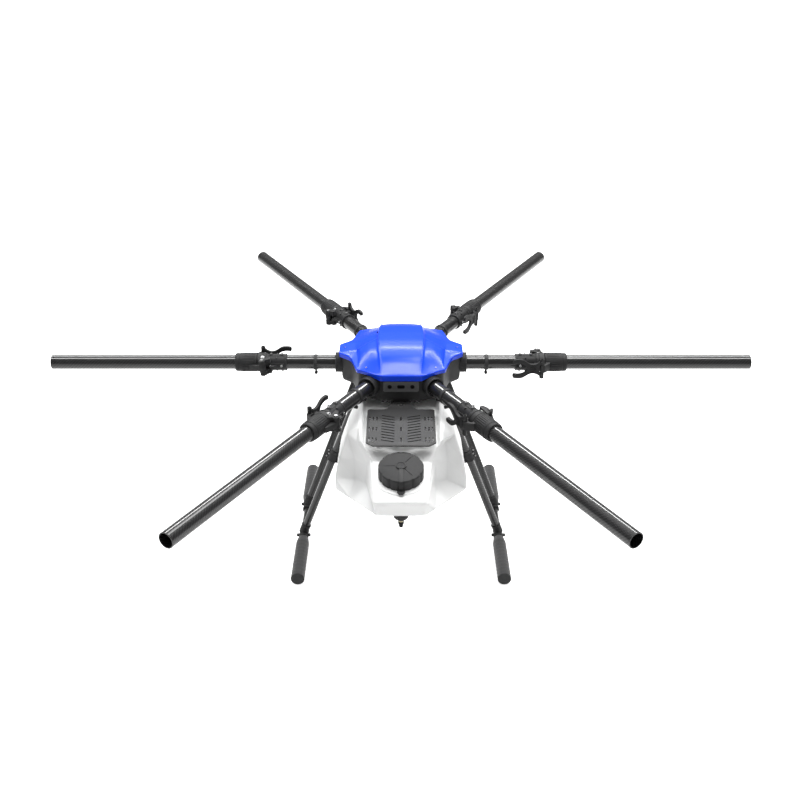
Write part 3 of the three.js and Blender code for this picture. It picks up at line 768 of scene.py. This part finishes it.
# ---- Hub ----
# Stations from the front of the cover to its rear. Each runs from the middle across the band, over its
# ridge, down the panel beside it and out to the rim, on the right-hand side.
COVER_ROWS = [
    [(0, -143, 34), (28, -143, 34), (43, -143, 34), (46, -143, 34.8), (50.5, -142, 34),
     (75, -128, 35.3), (98, -114.5, 36.5), (102, -113.5, 36.5), (106, -112, 36.5)],
    [(0, -103, 58.8), (28, -103, 58.4), (48, -102, 57), (50.5, -102, 58.6), (55, -100, 54.5),
     (78, -90, 49), (99.5, -82, 43), (104, -81, 38.5), (114, -80, 37.3)],
    [(0, -62, 69), (28, -62, 68.7), (51, -62, 67.5), (53.5, -62, 69.1), (58, -62, 64),
     (80, -56, 58.5), (101, -52, 47), (106, -50, 40.5), (122.5, -48, 38)],
    [(0, -26, 72.3), (28, -26, 72.1), (53, -26, 71), (55.5, -26, 72.4), (60, -6, 67),
     (81, -15, 60), (103, -26, 50), (108, -26, 42), (152, -24, 38.5)],
    [(0, 0, 72.5), (28, 0, 72.3), (53, 0, 71), (55.5, 0, 72.4), (61, 0, 65),
     (84, -8, 57), (108, -20, 45.5), (112, -21, 43), (152, -20, 38.5)],
    [(0, 20, 72.4), (28, 20, 72.2), (53, 20, 71), (55.5, 20, 72.4), (60.3, 18, 65.8),
     (84, 16, 57), (108, 12, 46.6), (117, 14, 43.4), (152, 19, 38.5)],
    [(0, 26, 72.3), (28, 26, 72.1), (53, 26, 71), (55.5, 26, 72.4), (60, 24, 66),
     (84, 24, 57), (108, 24, 47), (118, 24, 43.5), (152, 24, 38.5)],
    [(0, 62, 70.6), (28, 62, 70.3), (51, 62, 69), (53.5, 62, 70.6), (57, 62, 62),
     (80, 58, 54), (104, 52, 45), (112, 50, 41.5), (123, 48, 38)],
    [(0, 103, 60.5), (28, 103, 60.1), (48, 102, 58.4), (50.5, 102, 60), (54, 100, 52),
     (77, 92, 45.5), (97, 84, 41.5), (104, 82, 39), (114, 80, 37.3)],
    [(0, 143, 34), (28, 143, 34), (43, 143, 34), (46, 143, 34.8), (50.5, 142, 34),
     (75, 128, 35.3), (98, 114.5, 36.5), (102, 113.5, 36.5), (106, 112, 36.5)],
]
SKIRT_FLAT, SKIRT_SIDE = 18.0, 25.4


def cover_parts():
    bm = bmesh.new()
    rows = []
    for right in COVER_ROWS:
        left = [(-x, y, z) for x, y, z in right[:0:-1]]
        rows.append([bm.verts.new(point) for point in left + right])
    for a, b in zip(rows, rows[1:]):
        for c in range(len(a) - 1):
            bm.faces.new((a[c], a[c + 1], b[c + 1], b[c]))
    rim = rows[0] + [row[-1] for row in rows[1:-1]] + rows[-1][::-1] + [row[0] for row in rows[-2:0:-1]]
    rings = [rim]
    for drop, shrink in ((2.2, 1.006), (6, 1.006), (7, 1.0)):
        rings.append([bm.verts.new((v.co.x * shrink, v.co.y * shrink, v.co.z - drop)) for v in rim])
    flat_half = 51
    rings.append([bm.verts.new((v.co.x, v.co.y, SKIRT_FLAT if abs(v.co.x) < flat_half else SKIRT_SIDE))
                  for v in rim])
    for a, b in zip(rings, rings[1:]):
        for k in range(len(rim)):
            n = (k + 1) % len(rim)
            bm.faces.new((a[k], a[n], b[n], b[k]))
    shell = softened(recalculated(bm), 1, 2.5, 2)
    notch = cylinder(SOCKET_R + 0.6, 120, 180, 64)
    notches = [copied(notch, Matrix.Rotation(k * math.pi / 3, 4, "Z"), ALONG_X) for k in range(ARM_COUNT)]
    vent = bevelled(box(-61, -57.4, 27, 43, 50, 80), 1)
    return boolean(shell, notches + [vent])


COVER_OUTLINE = [(50, -143), (106, -112), (123, -48), (152, -24), (152, 24), (123, 48), (106, 112),
                 (50, 143)]


def hub_outline(distance):
    """The cover's outline moved inwards."""
    points = COVER_OUTLINE + [(-x, y) for x, y in reversed(COVER_OUTLINE)]
    count = len(points)
    result = []
    for k in range(count):
        before, here, after = Vector(points[k - 1]), Vector(points[k]), Vector(points[(k + 1) % count])
        u = (here - before).normalized()
        v = (after - here).normalized()
        spread = distance / (1 + u.dot(v))
        result.append((here.x - (u.y + v.y) * spread, here.y + (u.x + v.x) * spread))
    return result


def leg_lines():
    lines = []
    for side, side_name in ((1, "right"), (-1, "left")):
        for place, top in (("front", (106, -113)), ("rear", (96, 110))):
            start = Vector((side * top[0], top[1], -41))
            foot = Vector((side * 252, SKID_Y + math.copysign(65, top[1]), -449))
            lines.append((f"{place}_{side_name}", start, foot, side))
    return lines


LEGS = leg_lines()


def hub_parts():
    def at(z, distance):
        return [(x, y, z) for x, y in rounded(hub_outline(distance), 6)]

    tub = loft([at(HUB_BOTTOM, 8), at(HUB_BOTTOM + 1.2, 7), at(HUB_BOTTOM + 9, 5.4), at(HUB_BOTTOM + 11, 5),
                at(27, 5)])
    arms = [Matrix.Rotation(k * math.pi / 3, 4, "Z") for k in range(ARM_COUNT)]
    boss_profile = [(0, 128), (SOCKET_R, 128), (SOCKET_R, SOCKET_OUT - 5),
                    (SOCKET_R - 0.6, SOCKET_OUT - 4.4), (SOCKET_R - 0.6, SOCKET_OUT - 3.6),
                    (SOCKET_R, SOCKET_OUT - 3), (SOCKET_R, SOCKET_OUT - 1), (SOCKET_R - 1, SOCKET_OUT),
                    (0, SOCKET_OUT)]
    bosses = [moved(lathe(boss_profile, 64), turn, ALONG_X) for turn in arms]
    body = boolean(tub, bosses, "UNION")
    inner = loft([at(HUB_BOTTOM + 3, 11), at(HUB_BOTTOM + 11, 8), at(40, 8)])
    bore_profile = [(0, 100), (TUBE_R + 0.2, 100), (TUBE_R + 0.2, SOCKET_OUT - 6), (21.6, SOCKET_OUT - 5),
                    (22.4, SOCKET_OUT + 1), (0, SOCKET_OUT + 1)]
    bores = [moved(lathe(bore_profile, 56), turn, ALONG_X) for turn in arms]
    body = boolean(body, [inner, *bores])
    parts = [body]
    for _, start, foot, _ in LEGS:
        socket = lathe([(LEG_R + 0.2, 1), (11.4, 1), (12.8, 3), (12.8, 30), (12.0, 34), (LEG_R + 0.2, 34)],
                       40, closed=True)
        parts.append(moved(socket, aimed(start, foot)))
        pad = bevelled(prism(rounded_rectangle(19, 16, 6), HUB_BOTTOM - 6, HUB_BOTTOM + 2), 1.2)
        parts.append(moved(pad, shift(start.x * 0.97, start.y * 0.97, 0)))
    for k in range(-4, 5):
        if abs(k) > 1:
            rib = box(k * 11 - 2.5, k * 11 + 2.5, -136.5, -118, HUB_BOTTOM - 2.5, HUB_BOTTOM + 6)
            parts.append(bevelled(rib, 0.8))
    return parts


def panel_parts():
    plate = bevelled(prism(rounded_rectangle(42.5, 13.5, 4.5), 0, 3), 0.5)
    holes = [moved(lathe([(0, 0.8), (4.5, 0.8), (4.9, 4), (0, 4)], 32), shift(x, 0, 0))
             for x in (-PORT_X, PORT_X)]
    slot = prism(rounded_rectangle(8.5, 4, 2.5), 0.8, 5)
    dots = [moved(cylinder(1.1, 1.5, 4, 16), shift(x, 0, 0)) for x in (-17, -12, 12, 17)]
    return [moved(boolean(plate, [*holes, slot, *dots]), shift(0, PANEL_Y, 3), UPRIGHT)]


def panel_ports():
    """Two round sockets with raised contacts and a flat one between them, inside the recesses."""
    sockets = []
    for x in (-PORT_X, PORT_X):
        ring = lathe([(0, 1.8), (1.5, 1.8), (1.7, 1.4), (4.4, 1.2), (4.5, 2.9), (4.9, 3.2), (5.2, 2.9),
                      (5.2, 0.9), (0, 0.9)], 32)
        sockets.append(moved(ring, shift(x, 0, 0)))
    cup = bevelled(prism(rounded_rectangle(8.9, 4.4, 2.8), 0.6, 3.1), 0.2)
    mouth = prism(rounded_rectangle(7.6, 3.2, 2), 1.2, 4)
    tongue = bevelled(box(-5, 5, -0.7, 0.7, 0.9, 2.4), 0.3)
    return [moved(merged([*sockets, boolean(cup, [mouth]), tongue]), shift(0, PANEL_Y, 3), UPRIGHT)]


def cover_screws(cover):
    """One screw near each wing tip and one low on each corner facet, seated on the surface."""
    tree = BVHTree.FromBMesh(cover)
    screws = []
    for x, y in ((139, 0), (83, -112), (83, 112)):
        for side in (1, -1):
            spot, normal, _, _ = tree.ray_cast(Vector((side * x, y, 200)), Vector((0, 0, -1)))
            screws.append(standing(SMALL_SCREW, spot, normal))
    return screws


def build_hub():
    cover = cover_parts()
    piece("cover_screws", cover_screws(cover), STEEL, "frame")
    piece("visible_cover", [cover], BLUE, "frame", ("top_cover",), sharp=40)
    piece("visible_hub", hub_parts(), HUB_PLASTIC, "frame", ("hub_shell",))
    piece("visible_panel", panel_parts(), PANEL, "frame", ("front_panel",))
    piece("panel_ports", panel_ports(), PORT, "frame")


# ---- Battery tray ----
def tray_parts():
    low = TRAY_TOP - 3
    right = [(16, TRAY_FRONT), (TRAY_HALF - 16, TRAY_FRONT), (TRAY_HALF, TRAY_FRONT + 14),
             (TRAY_HALF, TRAY_REAR - 6)]
    right += arc((TRAY_HALF - 6, TRAY_REAR - 6), 6, 0, 90, 5)
    right += curve_through([(44, TRAY_REAR), (37, TRAY_REAR + 1.5), (31, TRAY_REAR + 8),
                            (26, TRAY_REAR + 18), (23, TRAY_REAR + 26)], 4)
    right += [(23, -120)]
    outline = right + [(-x, y) for x, y in reversed(right)]
    sheet = bevelled(prism(outline, low, TRAY_TOP), 0.5)
    tools = []
    for y in (-312, -264, -216):
        for x in (0, 56, 64, 72, -56, -64, -72):
            tools.append(moved(prism(rounded_rectangle(1.7, 9, 1.6), low - 2, TRAY_TOP + 2),
                               shift(x, y, 0)))
    for row in range(10):
        for side in (1, -1):
            slot = moved(prism(rounded_rectangle(16, 1.9, 1.8), low - 2, TRAY_TOP + 2),
                         Matrix.Rotation(side * 0.3, 4, "Z"))
            tools.append(moved(slot, shift(side * 30, -318 + row * 12.5, 0)))
    return [boolean(sheet, [merged(tools)])]


def tray_screw():
    return [standing(SCREW, (0, -150, TRAY_TOP)), standing(SMALL_SCREW, (-7, -149, TRAY_TOP)),
            standing(SMALL_SCREW, (7, -149, TRAY_TOP))]


# ---- Tank ----
TANK_LEVELS = [
    [(45, -225, SUMP_Z), (56, -240, SUMP_Z), (60, -275, SUMP_Z), (61, -310, SUMP_Z), (56, -324, SUMP_Z),
     (46, -328, SUMP_Z), (34, -329, SUMP_Z)],
    [(88, -58, -213), (112, -88, -213), (136, -180, -213), (138, -250, -213), (110, -292, -208),
     (70, -345, -203), (45, -372, -198)],
    [(100, -40, -187), (126, -80, -187), (150, -190, -187), (153, -290, -187), (119, -341, -178),
     (75, -406, -167), (55, -435, -162)],
    [(100, -40, -158), (126, -80, -158), (150, -190, -158), (153, -290, -158), (106, -293, -158),
     (79, -321, -150), (60, -470, -110)],
    [(96, -48, -96), (122, -86, -104), (142, -185, -108), (143, -274, -112), (107, -283, -112),
     (77, -319, -104), (58, -468, -105)],
    [(88, -56, -58), (112, -96, -62), (125, -170, -64), (125, -245, -66), (102, -272, -68), (70, -330, -84),
     (56, -462, -102.4)],
    [(76, -64, -47), (98, -104, -47), (98, -170, -47), (98, -240, -47), (91, -300, -52), (62, -345, -82.9),
     (52, -457, -101.7)],
]


def tank_cage(levels):
    """Triangles between levels, each [x, y, z] on the right-hand side, with both ends ruled across."""
    bm = bmesh.new()
    rings = [[bm.verts.new(point) for point in level] +
             [bm.verts.new((-x, y, z)) for x, y, z in reversed(level)] for level in levels]
    count = len(rings[0])
    for low, high in zip(rings, rings[1:]):
        for i in range(count):
            n = (i + 1) % count
            bm.faces.new((low[i], low[n], high[n]))
            bm.faces.new((low[i], high[n], high[i]))
    for ring in (rings[0], rings[-1]):
        for i in range(count // 2 - 1):
            bm.faces.new((ring[i], ring[i + 1], ring[-2 - i], ring[-1 - i]))
    return recalculated(bm)


def tank_parts():
    skin = softened(tank_cage(TANK_LEVELS), 3)
    floor, rim = -60, -30
    recess = loft([
        [(84, -330, floor), (84, -80, floor), (-84, -80, floor), (-84, -330, floor), (-66, -344, floor),
         (66, -344, floor)],
        [(102, -334, rim), (102, -60, rim), (-102, -60, rim), (-102, -334, rim), (-74, -352, rim),
         (74, -352, rim)],
    ])
    bevelled(recess, 4, 4)
    reliefs = [moved(cylinder(17, -20, 150, 40), aimed(start, foot))
               for _, start, foot, _ in LEGS if start.y < 0]
    seat = moved(lathe([(0, -6), (61, -6), (61, 0), (58.5, 1.8), (0, 1.8)], 72), ONTO_FILLER)
    groove = bevelled(box(-50, 50, -476, -465.5, -117, -114.2), 1.0)
    body = boolean(skin, [recess, *reliefs])
    body = boolean(body, [seat], "UNION")
    body = boolean(body, [groove])
    neck = moved(lathe([(36.5, 0), (40, 0), (40, 22.4), (39, 23.4), (36.5, 23.4)], 64, closed=True),
                 ONTO_FILLER)
    bore = moved(cylinder(36.5, -2, 6, 64), ONTO_FILLER)
    return [boolean(body, [bore]), neck]


def lid_parts():
    segments = 144
    rings = []
    for z, radius, depth in ((2.2, 49.6, 1.6), (3, 50.4, 1.8), (26.2, 50.4, 1.8), (28.6, 48.8, 1.2),
                             (29.6, 45.5, 0.2)):
        ring = []
        for k in range(segments):
            angle = 2 * math.pi * k / segments
            grip = max(0.0, math.cos(12 * angle)) ** 3
            reach = radius - depth * grip
            ring.append((reach * math.cos(angle), reach * math.sin(angle), z))
        rings.append(ring)
    for z, radius in ((30.4, 30.0), (30.8, 14.0)):
        rings.append([(radius * math.cos(2 * math.pi * k / segments),
                       radius * math.sin(2 * math.pi * k / segments), z) for k in range(segments)])
    cap = loft(rings)
    inside = cylinder(43.5, 0, 26, 72)
    seams = []
    for degrees in (180, 52, 308):
        seam = box(14, 41, -0.7, 0.7, 29.4, 33)
        seams.append(moved(seam, Matrix.Rotation(math.radians(degrees), 4, "Z")))
    cap = boolean(cap, [inside, merged(seams)])
    boss = bevelled(lathe([(0, 28), (12.6, 28), (12, 33), (9, 33.4), (8, 32.4), (0, 32.4)], 48), 0.3)
    button = [moved(lathe([(0, 32), (1.2, 32), (1.2, 33.1), (0, 33.3)], 16),
                    shift(4.5 * math.cos(a), 4.5 * math.sin(a), 0))
              for a in (0.5, 2.6, 4.7)]
    profile = [(-11, 30), (-11, 32.2), (-46, 31.4), (-52, 29.6), (-54.6, 25.5), (-55.4, 8), (-53.2, 6),
               (-51, 8), (-50, 24), (-45, 28)]
    strap = prism(profile, -4.6, 4.6)
    bevelled(strap, 0.8)
    moved(strap, Matrix(((0, 0, 1, 0), (1, 0, 0, 0), (0, 1, 0, 0), (0, 0, 0, 1))))
    tab = bevelled(prism([(-8.5, -52), (8.5, -52), (8.5, -58.5), (4.5, -64.8), (-4.5, -64.8),
                          (-8.5, -58.5)], 3.6, 8), 1.2, 3)
    return [cap, boss, *button, strap, tab]


def outlet_parts():
    profile = [(0, SUMP_Z - 0.3), (OUTLET_R, SUMP_Z - 0.3), (OUTLET_R, -253), (15.6, -255), (8.4, -261.5),
               (7.6, -262.4), (0, -262.4)]
    return [moved(lathe(profile, 48), shift(0, OUTLET_Y, 0))]


def outlet_nipple():
    profile = [(3.2, -266.4), (6.4, -266.4), (6.8, -267.4), (6.8, -272), (5.4, -273), (5.0, -279),
               (4.2, -281.8), (3.2, -281.8)]
    return [moved(lathe(profile, 40, closed=True), shift(0, OUTLET_Y, 0))]


def outlet_ring():
    profile = [(3.0, -262.3), (5.6, -262.3), (5.9, -263), (5.9, -266), (5.6, -266.5), (3.0, -266.5)]
    return [moved(lathe(profile, 40, closed=True), shift(0, OUTLET_Y, 0))]


def build_tank():
    piece("visible_tray", tray_parts(), TRAY, "frame", ("battery_tray",))
    piece("tray_screws", tray_screw(), STEEL, "frame")
    piece("visible_tank", tank_parts(), WHITE, "frame", ("tank",), sharp=50)
    piece("visible_lid", lid_parts(), PLASTIC, "lid", ("tank_lid",), (ONTO_FILLER,))
    piece("visible_outlet", outlet_parts(), PLASTIC, "frame", ("tank_outlet",))
    piece("outlet_ring", outlet_ring(), BRASS, "frame")
    piece("outlet_nipple", outlet_nipple(), RUBBER, "frame")


# ---- Landing gear ----
def leg_tube(start, foot):
    length = (foot - start).length
    return [moved(pipe(LEG_R - 1.5, LEG_R, 1, length, 48), aimed(start, foot))]


def leg_foot(start, foot, side):
    """Socket for the leg on a saddle round the skid, with a bolted ear on each side of the saddle."""
    length = (foot - start).length
    low = length - LEG_SOCKET
    profile = [(LEG_R + 0.1, low), (11.6, low), (12.4, low + 1), (12.4, low + 3), (11.6, low + 4.2),
               (12, length + 10), (0, length + 10), (0, length + 2), (LEG_R + 0.1, length + 2)]
    socket = moved(lathe(profile, 48), aimed(start, foot))
    saddle_profile = [(8.3, -18), (11.2, -18), (12.5, -16.8), (12.5, -11), (11.6, -10), (11.6, 10),
                      (12.5, 11), (12.5, 16.8), (11.2, 18), (8.3, 18)]
    centre = shift(side * SKID_X, foot.y, SKID_Z)
    saddle = moved(lathe(saddle_profile, 48, closed=True), centre, ALONG_Y)
    bore = moved(cylinder(8.3, -20, 20, 40), centre, ALONG_Y)
    end = math.copysign(1, foot.y - SKID_Y)
    ears = []
    for out in (1, -1):
        ear = bevelled(prism(rounded_rectangle(4, 3.5, 1.5), -2.6, 2.6), 0.6)
        ears.append(moved(ear, centre, shift(out * 14, end * 7, 2)))
    return [boolean(socket, [bore]), saddle, *ears]


def leg_clamp_span(start, foot):
    length = (foot - start).length
    return length * LEG_CLAMP[0], length * LEG_CLAMP[1]


def leg_clamp_parts(start, foot, side):
    low, high = leg_clamp_span(start, foot)
    place = aimed(start, foot)
    profile = [(LEG_R + 0.2, low), (12.4, low), (13.5, low + 1.2), (13.5, low + 3.6), (12.6, low + 4.6),
               (12.6, high - 4.6), (13.5, high - 3.6), (13.5, high - 1.2),
               (12.4, high), (LEG_R + 0.2, high)]
    sleeve = moved(lathe(profile, 48, closed=True), place)
    flap = moved(bevelled(box(9.8, 20, -5.6, 5.6, low + 1, high - 1), 1.4, 3), place,
                 Matrix.Scale(-side, 4, (1, 0, 0)))
    split = box(12, 21, -0.6, 0.6, low, high)
    flap = boolean(recalculated(flap), [moved(split, place, Matrix.Scale(-side, 4, (1, 0, 0)))])
    return [sleeve, flap]


def leg_screws(start, foot, side):
    """Three screws down the outer flap, with their heads on the side that faces away from the hub."""
    low, high = leg_clamp_span(start, foot)
    out = math.copysign(1, start.y)
    spots = [(16, low + 6), (12.5, (low + high) / 2), (16, high - 6)]
    return [moved(standing(SMALL_SCREW, (-side * x, out * 5.4, z), (0, out, 0)), aimed(start, foot))
            for x, z in spots]


def leg_pad_parts(start, foot, side):
    """Rubber pad on the tank's side of the leg clamp."""
    low, high = leg_clamp_span(start, foot)
    half = (high - low) / 2
    middle = start.lerp(foot, sum(LEG_CLAMP) / 2)
    along = (foot - start).normalized()
    block = bevelled(box(-11, 11, -4, 6, 1 - half, half - 1), 1.6, 3)
    grooves = [box(-12, 12, -5.5, -2.8, z - 1, z + 1) for z in (-10, -5, 0, 5, 10)]
    inwards = Vector((-side, 0, 0))
    outwards = -(inwards - along * inwards.dot(along)).normalized()
    across = outwards.cross(along).normalized()
    turn = Matrix((across, outwards, along)).transposed().to_4x4()
    return [moved(boolean(block, grooves), Matrix.Translation(middle - outwards * 16.5), turn)]


def foam_sleeve(end):
    """Soft sleeve, closed and gently crowned at its outer end, with rounded lips and a barely uneven skin."""
    bore = 8.4
    lip = 3.0
    taper = 24
    first = [(bore, FOAM_START + 1), (bore + 1, FOAM_START), (FOAM_R - 4.8, FOAM_START),
             (FOAM_R - 4, FOAM_START + 0.8)]
    corner = [(FOAM_R - 2.2, FOAM_START + 0.45 * taper), (FOAM_R - 0.9, FOAM_START + 0.75 * taper),
              (FOAM_R - 0.2, FOAM_START + taper)]
    steps = 30
    side = [(FOAM_R - 0.25 + 0.25 * math.sin(2.1 * k), FOAM_START + taper +
             (SKID_HALF - lip - taper - FOAM_START) * k / steps) for k in range(1, steps)]
    cap = [(FOAM_R - lip + lip * math.cos(a), SKID_HALF - lip + (lip - 0.8) * math.sin(a))
           for a in (math.radians(d) for d in range(0, 91, 18))]
    crown = [(8, SKID_HALF - 0.2), (0, SKID_HALF), (0, SKID_HALF - 3.5), (bore, SKID_HALF - 3.5)]
    profile = first + corner + side + cap + crown + first[:1]
    return moved(lathe(profile, 56), Matrix.Scale(end, 4, (0, 1, 0)), ALONG_Y)


def build_landing_gear():
    for name, start, foot, side in LEGS:
        piece(f"visible_leg_{name}", leg_tube(start, foot), LEG_CARBON, "frame",
              (f"leg_{name}",))
        piece(f"leg_foot_{name}", leg_foot(start, foot, side), PLASTIC, "frame")
        piece(f"visible_leg_clamp_{name}", leg_clamp_parts(start, foot, side), PLASTIC, "frame",
              (f"leg_clamp_{name}",))
        piece(f"leg_pad_{name}", leg_pad_parts(start, foot, side), RUBBER, "frame")
        piece(f"leg_screws_{name}", leg_screws(start, foot, side), STEEL, "frame")
    for side, name in ((1, "right"), (-1, "left")):
        place = shift(side * SKID_X, SKID_Y, SKID_Z)
        skid = pipe(6.5, 8, -SKID_HALF + 4, SKID_HALF - 4, 48)
        piece(f"visible_skid_{name}", [skid], LEG_CARBON, "frame", (f"skid_{name}",),
              (place, ALONG_Y))
        for place_name, end in (("front", -1), ("rear", 1)):
            piece(f"visible_foam_{place_name}_{name}", [foam_sleeve(end)], FOAM, "frame",
                  (f"foam_{place_name}_{name}",), (place,))


# ---- Carried-over nodes inside the hub and lid ----
def finish_hidden_nodes():
    for node, surface in (("power_board", BOARD), ("flight_controller", PLASTIC), ("lid_gasket", RUBBER)):
        mesh = frame["nodes"][node].data
        mesh.materials.clear()
        mesh.materials.append(surface)


# ---- Stage, light and camera ----
def seen_directly(nodes, links, tree_output, lit, bright):
    """Shows one shader to the camera and another to every other ray."""
    mix = nodes.new("ShaderNodeMixShader")
    links.new(nodes.new("ShaderNodeLightPath").outputs["Is Camera Ray"], mix.inputs[0])
    links.new(lit, mix.inputs[1])
    links.new(bright, mix.inputs[2])
    links.new(mix.outputs[0], tree_output.inputs["Surface"])


def build_stage():
    floor = to_object(box(-FLOOR_REACH, FLOOR_REACH, -FLOOR_REACH, FLOOR_REACH, -20, -0.05), "floor")
    floor.scale = (MM, MM, MM)
    material, nodes, links, shader = new_material("floor_white")
    preset(shader, {"Base Color": (0.8, 0.8, 0.8, 1), "Roughness": 0.9})
    glow = nodes.new("ShaderNodeEmission")
    glow.inputs["Strength"].default_value = FLOOR_GLOW
    both = nodes.new("ShaderNodeAddShader")
    links.new(glow.outputs[0], both.inputs[0])
    links.new(shader.outputs[0], both.inputs[1])
    seen_directly(nodes, links, nodes["Material Output"], shader.outputs[0], both.outputs[0])
    floor.data.materials.append(material)
    world = bpy.data.worlds.new("studio")
    world.use_nodes = True
    nodes, links = world.node_tree.nodes, world.node_tree.links
    soft = nodes["Background"]
    soft.inputs["Color"].default_value = (1, 1, 1, 1)
    glossy = nodes.new("ShaderNodeLightPath").outputs["Is Glossy Ray"]
    links.new(math_node(nodes, links, "MULTIPLY_ADD", glossy, ROOM_REFLECTION - ROOM_LIGHT, ROOM_LIGHT),
              soft.inputs["Strength"])
    backdrop = nodes.new("ShaderNodeBackground")
    backdrop.inputs["Strength"].default_value = 1.0
    backdrop.inputs["Color"].default_value = (1, 1, 1, 1)
    seen_directly(nodes, links, nodes["World Output"], soft.outputs[0], backdrop.outputs[0])
    bpy.context.scene.world = world
    bpy.context.scene.view_settings.view_transform = "Standard"


def area_light(name, location, target, size, power, roll=0.0, reflected=True):
    data = bpy.data.lights.new(name, "AREA")
    data.shape = "RECTANGLE"
    data.size, data.size_y = size
    data.energy = power
    light = bpy.data.objects.new(name, data)
    light.location = location
    light.visible_glossy = reflected
    aim = (Vector(target) - Vector(location)).to_track_quat("-Z", "Y").to_matrix()
    light.rotation_euler = (aim @ Matrix.Rotation(roll, 3, "Z")).to_euler()
    bpy.context.collection.objects.link(light)


def build_lights():
    """Overhead strips for streaks along the tubes, a front fill, and a turned softbox over the cover."""
    height = ARM_Z * MM + 2.6
    area_light("key_strip", (0, -0.08, height), (0, -0.08, 0), (4.0, 0.3), 92)
    area_light("rear_strip", (0, 2.6, height), (0, 0, 0.2), (4.8, 0.3), 120)
    area_light("front_fill", (0, -0.9, height), (0, -0.4, 0.2), (2.4, 0.8), 14, reflected=False)
    area_light("sheen", (0.75, 0.95, height), (0.75, 0.95, 0), (1.3, 0.9), 26, math.radians(40))


def build_camera():
    """Looks down at the tray side from in front, with the hub a little above centre."""
    distance = CAMERA_DISTANCE * ARM_END * MM
    elevation = math.radians(CAMERA_ELEVATION)
    data = bpy.data.cameras.new("camera")
    data.sensor_width = CAMERA_SENSOR
    data.lens = CAMERA_LENS
    data.shift_x, data.shift_y = CAMERA_SHIFT
    camera = bpy.data.objects.new("camera", data)
    camera.location = (0, -distance * math.cos(elevation), ARM_Z * MM + distance * math.sin(elevation))
    camera.rotation_euler = (math.pi / 2 - elevation, 0, 0)
    bpy.context.collection.objects.link(camera)
    bpy.context.scene.camera = camera


build_arms()
build_hub()
build_tank()
build_landing_gear()
finish_hidden_nodes()
build_stage()
build_lights()
build_camera()
